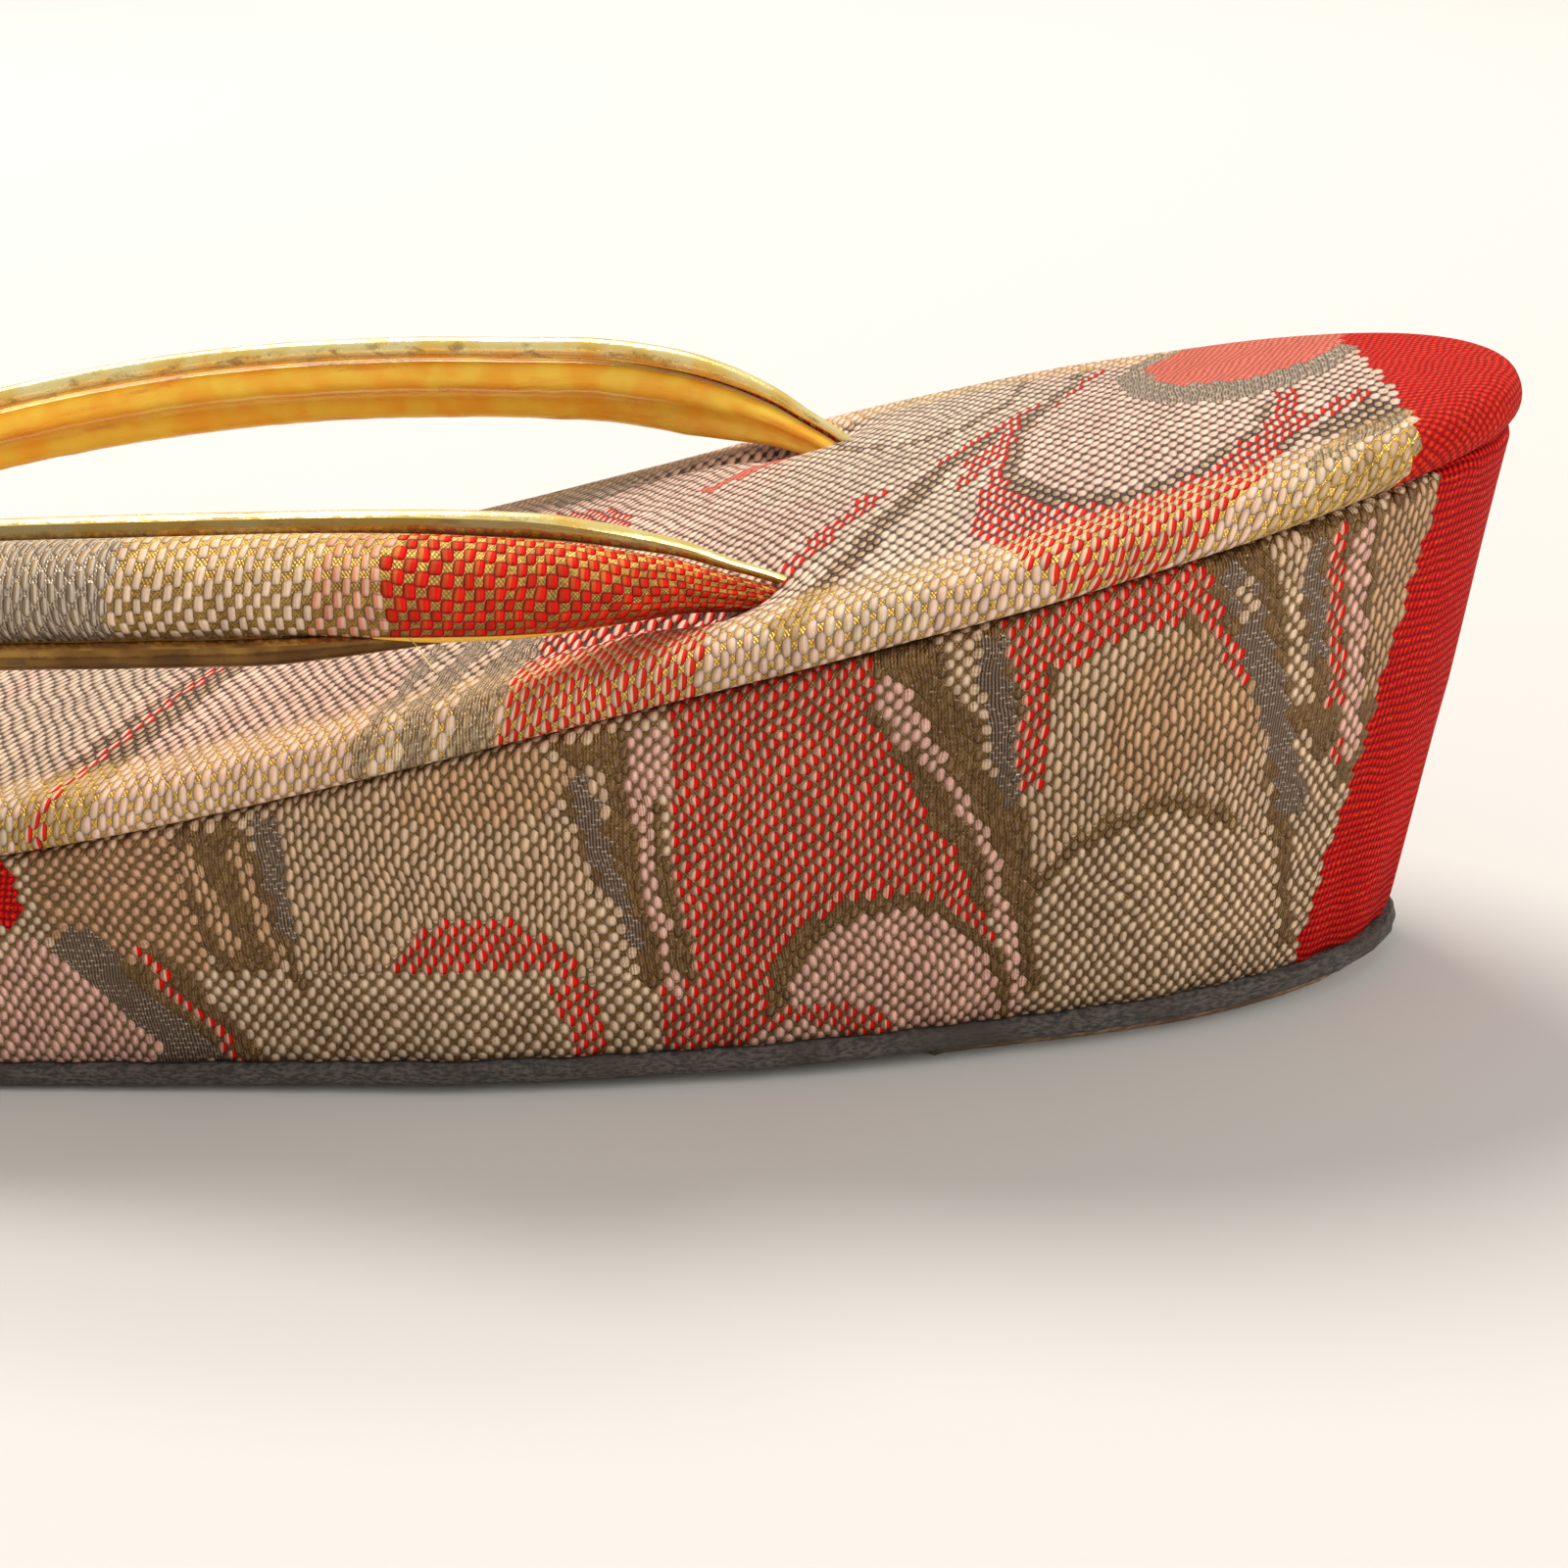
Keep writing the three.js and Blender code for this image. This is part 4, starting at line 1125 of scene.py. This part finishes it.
def footbed_skin():
    around, rim_rows, top_rows, under_rows = 460, 20, 30, 4
    rows = rim_rows + top_rows + under_rows
    inner = RIM_INSET[-1] * RIM_ROLL
    under_inset = RIM_INSET[0] * RIM_ROLL
    rim_shares = np.linspace(0, 1, 201)

    def rim_at(share):
        index = share * (len(RIM_INSET) - 1)
        inset = read_between(RIM_INSET, index) * RIM_ROLL
        drop = read_between(RIM_DROP, index) * BOARD_THICKNESS
        return inset, max(drop, 0.0)

    rim_points = [rim_at(share) for share in rim_shares]
    rim_steps = [np.hypot(b[0] - a[0], b[1] - a[1]) for a, b in zip(rim_points, rim_points[1:])]
    rim_from_top = np.concatenate([np.cumsum(rim_steps[::-1])[::-1], [0.0]])
    tucked_under = rim_from_top[0] + 3

    def parts(v):
        k = v * rows
        if k < under_rows:
            return "under", k / under_rows
        if k <= under_rows + rim_rows:
            return "rim", (k - under_rows) / rim_rows
        return "top", (k - under_rows - rim_rows) / top_rows

    def place(u, v):
        station = outline_station(u)
        part, share = parts(v)
        if part == "rim":
            inset, drop = rim_at(share)
        elif part == "under":
            inset, drop = under_inset, BOARD_THICKNESS
        else:
            inset, drop = inner, 0.0
        x = station.x - inset * station.out_x
        y = station.y - inset * station.out_y
        x = x if x * station.side > 0 else 0.0
        half = abs(x)
        if part == "under":
            x *= share
        if part == "top":
            x *= 1 - share
        z = board_top(y) - drop
        if part == "top" and half > 0:
            ends = smooth_step(0, 40, min(from_heel(y), LENGTH - from_heel(y)))
            z += BOARD_CROWN * ends * (1 - (x / half) ** 2)
        if part != "under":
            z -= hollow(from_heel(y), x) * (1 - drop / BOARD_THICKNESS)
            z += 0.12 * soft_noise((x, y, 0), 14)
        return Vector((x, y, z))

    def chart(u, v):
        """The top seen from above, with the rim laid out flat round it."""
        station = outline_station(u)
        part, share = parts(v)
        beyond = {"top": 0.0, "under": tucked_under}.get(part, np.interp(share, rim_shares, rim_from_top))
        s = from_heel(station.y) - inner * station.out_y
        x = station.x - inner * station.out_x
        if part == "top":
            x *= 1 - share
        return s + beyond * station.out_y, x + beyond * station.out_x

    skin("footbed_cover", around, rows, place, chart, TOP_CLOTH, "footbed")


# Wedge: the cloth wall with its turned edge under the footbed. On the chart the fold runs on above the
# wall, and the hidden cloth lies past both ends.
FOLD_RUN = 2.2
HIDDEN_RUN = 4


def wedge_skin():
    around, wall_rows, fold_rows, cap_rows = 560, 44, 5, 3
    rows = cap_rows + wall_rows + fold_rows + cap_rows

    def parts(v):
        k = v * rows
        if k < cap_rows:
            return "base", k / cap_rows
        k -= cap_rows
        if k <= wall_rows:
            return "wall", k / wall_rows
        k -= wall_rows
        if k <= fold_rows:
            return "fold", k / fold_rows
        return "cap", (k - fold_rows) / cap_rows

    def place(u, v):
        station = outline_station(u)
        part, share = parts(v)
        rise = {"base": 0.0, "wall": share}.get(part, 1.0)
        tuck = np.interp(rise, (0.0, 0.5, 1.0), (1.0, 0.46, 0.0))
        fold = {"fold": 1 - np.cos(share * np.pi / 2), "cap": 1.0}.get(part, 0.0)
        down = {"base": 0.0, "wall": share**4, "fold": 1 - np.sin(share * np.pi / 2)}.get(part, 0.0)
        inset = BOARD_OVERHANG + tuck * tuck_at(station.y) + fold * CLOTH_FOLD
        ripple = 0.0
        if part == "wall":
            low_pull = (1 - share) ** 3
            ripple = 0.16 * low_pull * np.sin(station.arc * 0.9 + 2 * np.sin(station.arc * 0.21))
            ripple += 0.16 * soft_noise((station.x, station.y, share * 40), 16) * np.sin(share * np.pi)
            inset += 0.25 * (1 - smooth_step(0, 0.05, share))
        inset -= ripple
        x = station.x - inset * station.out_x
        y = station.y - inset * station.out_y
        x = x if x * station.side > 0 else 0.0
        if part == "base":
            x *= share
        if part == "cap":
            x *= 1 - share
        z = wedge_base(y) + rise * (wedge_top(y) - wedge_base(y)) - down * CLOTH_FOLD
        return Vector((x, y, z))

    def chart(u, v):
        station = outline_station(u)
        part, share = parts(v)
        rise = {"base": 0.0, "wall": share}.get(part, 1.0)
        low = wedge_base(station.y)
        hidden = {"base": share - 1, "cap": share}.get(part, 0.0)
        folded = {"fold": share, "cap": 1.0}.get(part, 0.0)
        extra = folded * FOLD_RUN + hidden * HIDDEN_RUN
        return station.arc, low + rise * (wedge_top(station.y) - low) + extra

    skin("wedge_cover", around, rows, place, chart, WALL_CLOTH, "wedge_midsole")


# Outsole and heel lift
def sole_skin(name, inset_at, low_at, high_at, front, material, stands_for, fuzz):
    """A flat leather piece with a rounded edge. Past front the outline turns straight across."""
    around, edge_rows, cap_rows = 360, 8, 4
    rows = edge_rows + 2 * cap_rows

    def edge_point(station, extra):
        inset = inset_at(station.y) + extra
        x = station.x - inset * station.out_x
        return (x if x * station.side > 0 else 0.0), station.y - inset * station.out_y

    right_side = [outline_station(share) for share in np.linspace(0, 0.5, 1500)]
    kept = [station for station in right_side if edge_point(station, 0)[1] <= front]
    front_arc = kept[-1].arc
    front_half = edge_point(kept[-1], 0)[0]

    def place(u, v):
        station = outline_station(u)
        k = v * rows
        cap = min(1.0, k / cap_rows, (rows - k) / cap_rows)
        share = clamp01((k - cap_rows) / edge_rows)
        rounding = 0.3 * abs(2 * share - 1) ** 4
        rough = fuzz * soft_noise((station.arc, share * 2, 3), 1.7)
        x, y = edge_point(station, rounding - rough)
        if station.arc > front_arc:
            x = station.side * front_half * (HALF_ROUND - station.arc) / (HALF_ROUND - front_arc)
            y = front - rounding + rough
        return Vector((x * cap, y, low_at(y) + share * (high_at(y) - low_at(y))))

    def chart(u, v):
        return outline_station(u).arc, v * 10

    skin(name, around, rows, place, chart, material, stands_for)


def sole_inset(y):
    return BOARD_OVERHANG + tuck_at(y) - OUTSOLE_LIP


def sole_top(y):
    return sole_underside(y) + OUTSOLE_THICKNESS


def lift_inset(y):
    return sole_inset(y) + LIFT_INSET


def lift_top(y):
    return sole_underside(y) - CONTACT_GAP


LIFT_START = HEEL_TUCK + BOARD_OVERHANG - OUTSOLE_LIP + LIFT_INSET - LENGTH / 2


# Strap pieces, swept along the strap
def strap_skin(name, columns, rows, section, across, material, stands_for):
    """section gives outward and upward for a share of the way round, and across its place on the chart."""

    def place(u, v):
        station = strap_station(u)
        out, up = section(station, v)
        ends = min(1.0, u * columns, (1 - u) * columns)
        return station.centre + (station.outward * out + station.upward * up) * ends

    def chart(u, v):
        run = u * STRAP_LENGTH
        return min(run, STRAP_LENGTH - run), across(v)

    skin(name, columns, rows, place, chart, material, stands_for)


# Share of the way round that is the flat back, and the middle of the front that is left
BACK_SHARE = 0.25
FRONT_MIDDLE = (1 + BACK_SHARE) / 2


def face_section(station, v):
    pull = 1 - min(station.width, 1.0)
    if v < BACK_SHARE:
        return CONTACT_GAP / 2, half_face(station) * (1 - 2 * v / BACK_SHARE)
    turn = ((v - BACK_SHARE) / (1 - BACK_SHARE) - 0.5) * np.pi
    puff = 1 + 0.05 * soft_noise((station.run, turn * 2, 0), 7)
    pleats = 0.3 * pull * np.sin(turn * 9 + 0.15 * station.run) * np.cos(turn)
    out = CONTACT_GAP / 2 + FACE_BULGE * station.thick * puff * max(np.cos(turn), 0.0) ** 0.8
    return out + pleats, half_face(station) * np.sin(turn)


def lining_section(station, v):
    if v < BACK_SHARE:
        return -CONTACT_GAP / 2, -half_face(station) * (1 - 2 * v / BACK_SHARE)
    turn = ((v - BACK_SHARE) / (1 - BACK_SHARE) - 0.5) * np.pi
    bulge = max(np.cos(turn), 0.0)
    lobes = bulge**0.6 * (1 - LINING_GROOVE * bulge**8)
    wrinkle = 1 + 0.07 * soft_noise((station.run, turn * 1.2, 5), 2.6) * bulge
    out = -CONTACT_GAP / 2 - LINING_DEPTH * station.thick * lobes * wrinkle
    return out, -half_face(station) * np.sin(turn)


def piping_section(side):
    """The lower piping slips behind the face as it nears its root."""

    def section(station, v):
        turn = v * 2 * np.pi
        from_root = min(station.run, STRAP_LENGTH - station.run)
        slip = 1 - smooth_step(32, 52, from_root) if side < 0 else 0.0
        radius = piping_radius(station) * (1.06 + 0.03 * soft_noise((station.run, turn, side * 9), 3))
        radius *= 1 - 0.5 * slip
        out = radius * np.cos(turn) + 0.25 - 2.2 * slip * station.thick
        middle = side * (piping_centre(station) - 2.4 * slip * station.thick)
        return out, middle + radius * np.sin(turn)

    return section


# Toe loop: a band round the strap's bend, with its stem in the front hole. On the strap's chart both start
# at LOOP_FROM.
LOOP_FROM = 60
LOOP_ROUND = 44
STEM_ROUND = 22
LOOP_ACROSS = 18
STEM_BELOW_BEND = 6.2


def loop_piece():
    apex = strap_station(0.5)
    middle = (FACE_BULGE - LINING_DEPTH) / 2 * apex.thick
    out_room = (FACE_BULGE + LINING_DEPTH) / 2 * apex.thick + CONTACT_GAP
    up_room = piping_centre(apex) + piping_radius(apex) + CONTACT_GAP

    def fuller(value):
        return np.sign(value) * abs(value) ** 0.72

    def place(u, v):
        turn = u * 2 * np.pi
        around = v * 2 * np.pi
        out_way = fuller(np.cos(turn))
        up_way = fuller(np.sin(turn))
        thick = LOOP_THICKNESS / 2 * (1 + 0.99 * fuller(np.cos(around)))
        side = LOOP_WIDTH / 2 * fuller(np.sin(around))
        side *= 1 + 0.04 * np.sin(turn * 3)
        out = middle + (out_room + thick) * out_way
        up = (up_room + thick) * up_way
        return apex.centre + apex.outward * out + apex.upward * up + Vector((side, 0, 0))

    def chart(u, v):
        return LOOP_FROM + u * LOOP_ROUND, v * LOOP_ACROSS

    skin("toe_loop_band", 96, 28, place, chart, STRAP_CLOTH, "toe_loop")


def loop_stem():
    apex = strap_station(0.5)
    lengthwise = (2 * LOOP_THICKNESS + CONTACT_GAP) / 2
    foot = board_top(apex.centre.y) - LOOP_STEM_DEPTH
    top = apex.centre.z - STEM_BELOW_BEND

    def place(u, v):
        turn = u * 2 * np.pi
        x = LOOP_WIDTH / 2 * np.sign(np.cos(turn)) * abs(np.cos(turn)) ** 0.5
        y = lengthwise * np.sign(np.sin(turn)) * abs(np.sin(turn)) ** 0.5
        ends = min(1.0, v * 30, (1 - v) * 30)
        height = foot + v * (top - foot)
        gather = 1 + 0.04 * np.sin(turn * 7)
        return Vector((x * ends * gather, apex.centre.y + y * ends * gather, height))

    def chart(u, v):
        return LOOP_FROM + u * STEM_ROUND, v * LOOP_ACROSS

    skin("toe_loop_stem", 64, 30, place, chart, STRAP_CLOTH, None)


THREAD_AT = 38.5
THREAD_REACH = 4.2
THREAD_RADIUS = 0.13


def loose_thread():
    """A frayed end of gold thread hanging from the seam of the lower piping."""
    station = strap_station(THREAD_AT / STRAP_LENGTH)
    root = station.centre + station.outward * 0.9 - station.upward * (half_face(station) + 0.3)

    def place(u, v):
        turn = v * 2 * np.pi
        reach = u * THREAD_REACH
        middle = root + Vector((-0.5 * np.sin(u * 2.2), -0.55 * reach, -0.62 * reach + 0.3 * np.sin(u * 5)))
        radius = THREAD_RADIUS * (1 - 0.5 * u) * min(1.0, u * 12, (1 - u) * 12)
        slanted = radius * np.sin(turn) * 0.7
        return middle + Vector((radius * np.cos(turn), slanted, slanted))

    skin("loose_thread", 24, 8, place, lambda u, v: (u * 4, v), PIPING_GILT, None)


# How far the cloth or foil runs round each piece of the strap on its chart
FACE_GIRTH = 17
LINING_GIRTH = 15
PIPING_GIRTH = 6.6

wedge_skin()
footbed_skin()
sole_skin(
    "outsole_leather", sole_inset, sole_underside, sole_top, LENGTH,
    SOLE_LEATHER, "outsole", 0.25,
)
sole_skin(
    "heel_lift_leather", lift_inset, lambda y: 0.0, lift_top, LIFT_START + LIFT_LENGTH,
    HEEL_LEATHER, "heel_lift", 0.15,
)
strap_skin(
    "strap_cover", 640, 40, face_section, lambda v: (v - FRONT_MIDDLE) * FACE_GIRTH,
    STRAP_CLOTH, "strap_face",
)
strap_skin(
    "strap_padding", 700, 40, lining_section, lambda v: (v - FRONT_MIDDLE) * LINING_GIRTH,
    LINING_GILT, "strap_lining",
)
strap_skin(
    "piping_top", 600, 18, piping_section(1), lambda v: v * PIPING_GIRTH,
    PIPING_GILT, "piping_upper",
)
strap_skin(
    "piping_bottom", 600, 18, piping_section(-1), lambda v: v * PIPING_GIRTH,
    SHADED_UNDER_GILT, "piping_lower",
)
loop_piece()
loop_stem()
loose_thread()


# Floor and light, in metres
def make_floor():
    bm = bmesh.new()
    bmesh.ops.create_grid(bm, x_segments=2, y_segments=2, size=20.0)
    material, tree, shader = new_material("pale_floor")
    shader.inputs["Base Color"].default_value = paint(200, 198, 194)
    shader.inputs["Roughness"].default_value = 0.8
    place_mesh(bm, "floor", [material])


def make_light(name, place, target, size, power, colour):
    data = bpy.data.lights.new(name, "AREA")
    data.shape = "DISK"
    data.size = size
    data.energy = power
    data.color = colour
    light = bpy.data.objects.new(name, data)
    light.location = Vector(place)
    light.rotation_euler = (Vector(target) - Vector(place)).to_track_quat("-Z", "Y").to_euler()
    bpy.context.scene.collection.objects.link(light)


def make_world():
    world = bpy.data.worlds.new("studio")
    world.use_nodes = True
    background = world.node_tree.nodes["Background"]
    background.inputs["Color"].default_value = paint(244, 242, 238)
    background.inputs["Strength"].default_value = 0.62
    bpy.context.scene.world = world


make_floor()
make_world()
make_light("key_above", (1.05, 0.75, 2.2), (0, -0.02, 0.03), 1.3, 68.0, (1.0, 0.97, 0.92))
make_light("front_fill", (-1.3, -2.5, 1.5), (0, -0.02, 0.03), 2.4, 42.0, (1.0, 0.97, 0.93))
make_light("heel_side", (-0.3, -2.4, 1.3), (0, -0.05, 0.03), 1.5, 19.0, (1.0, 0.97, 0.94))
bpy.context.scene.view_settings.view_transform = "Standard"
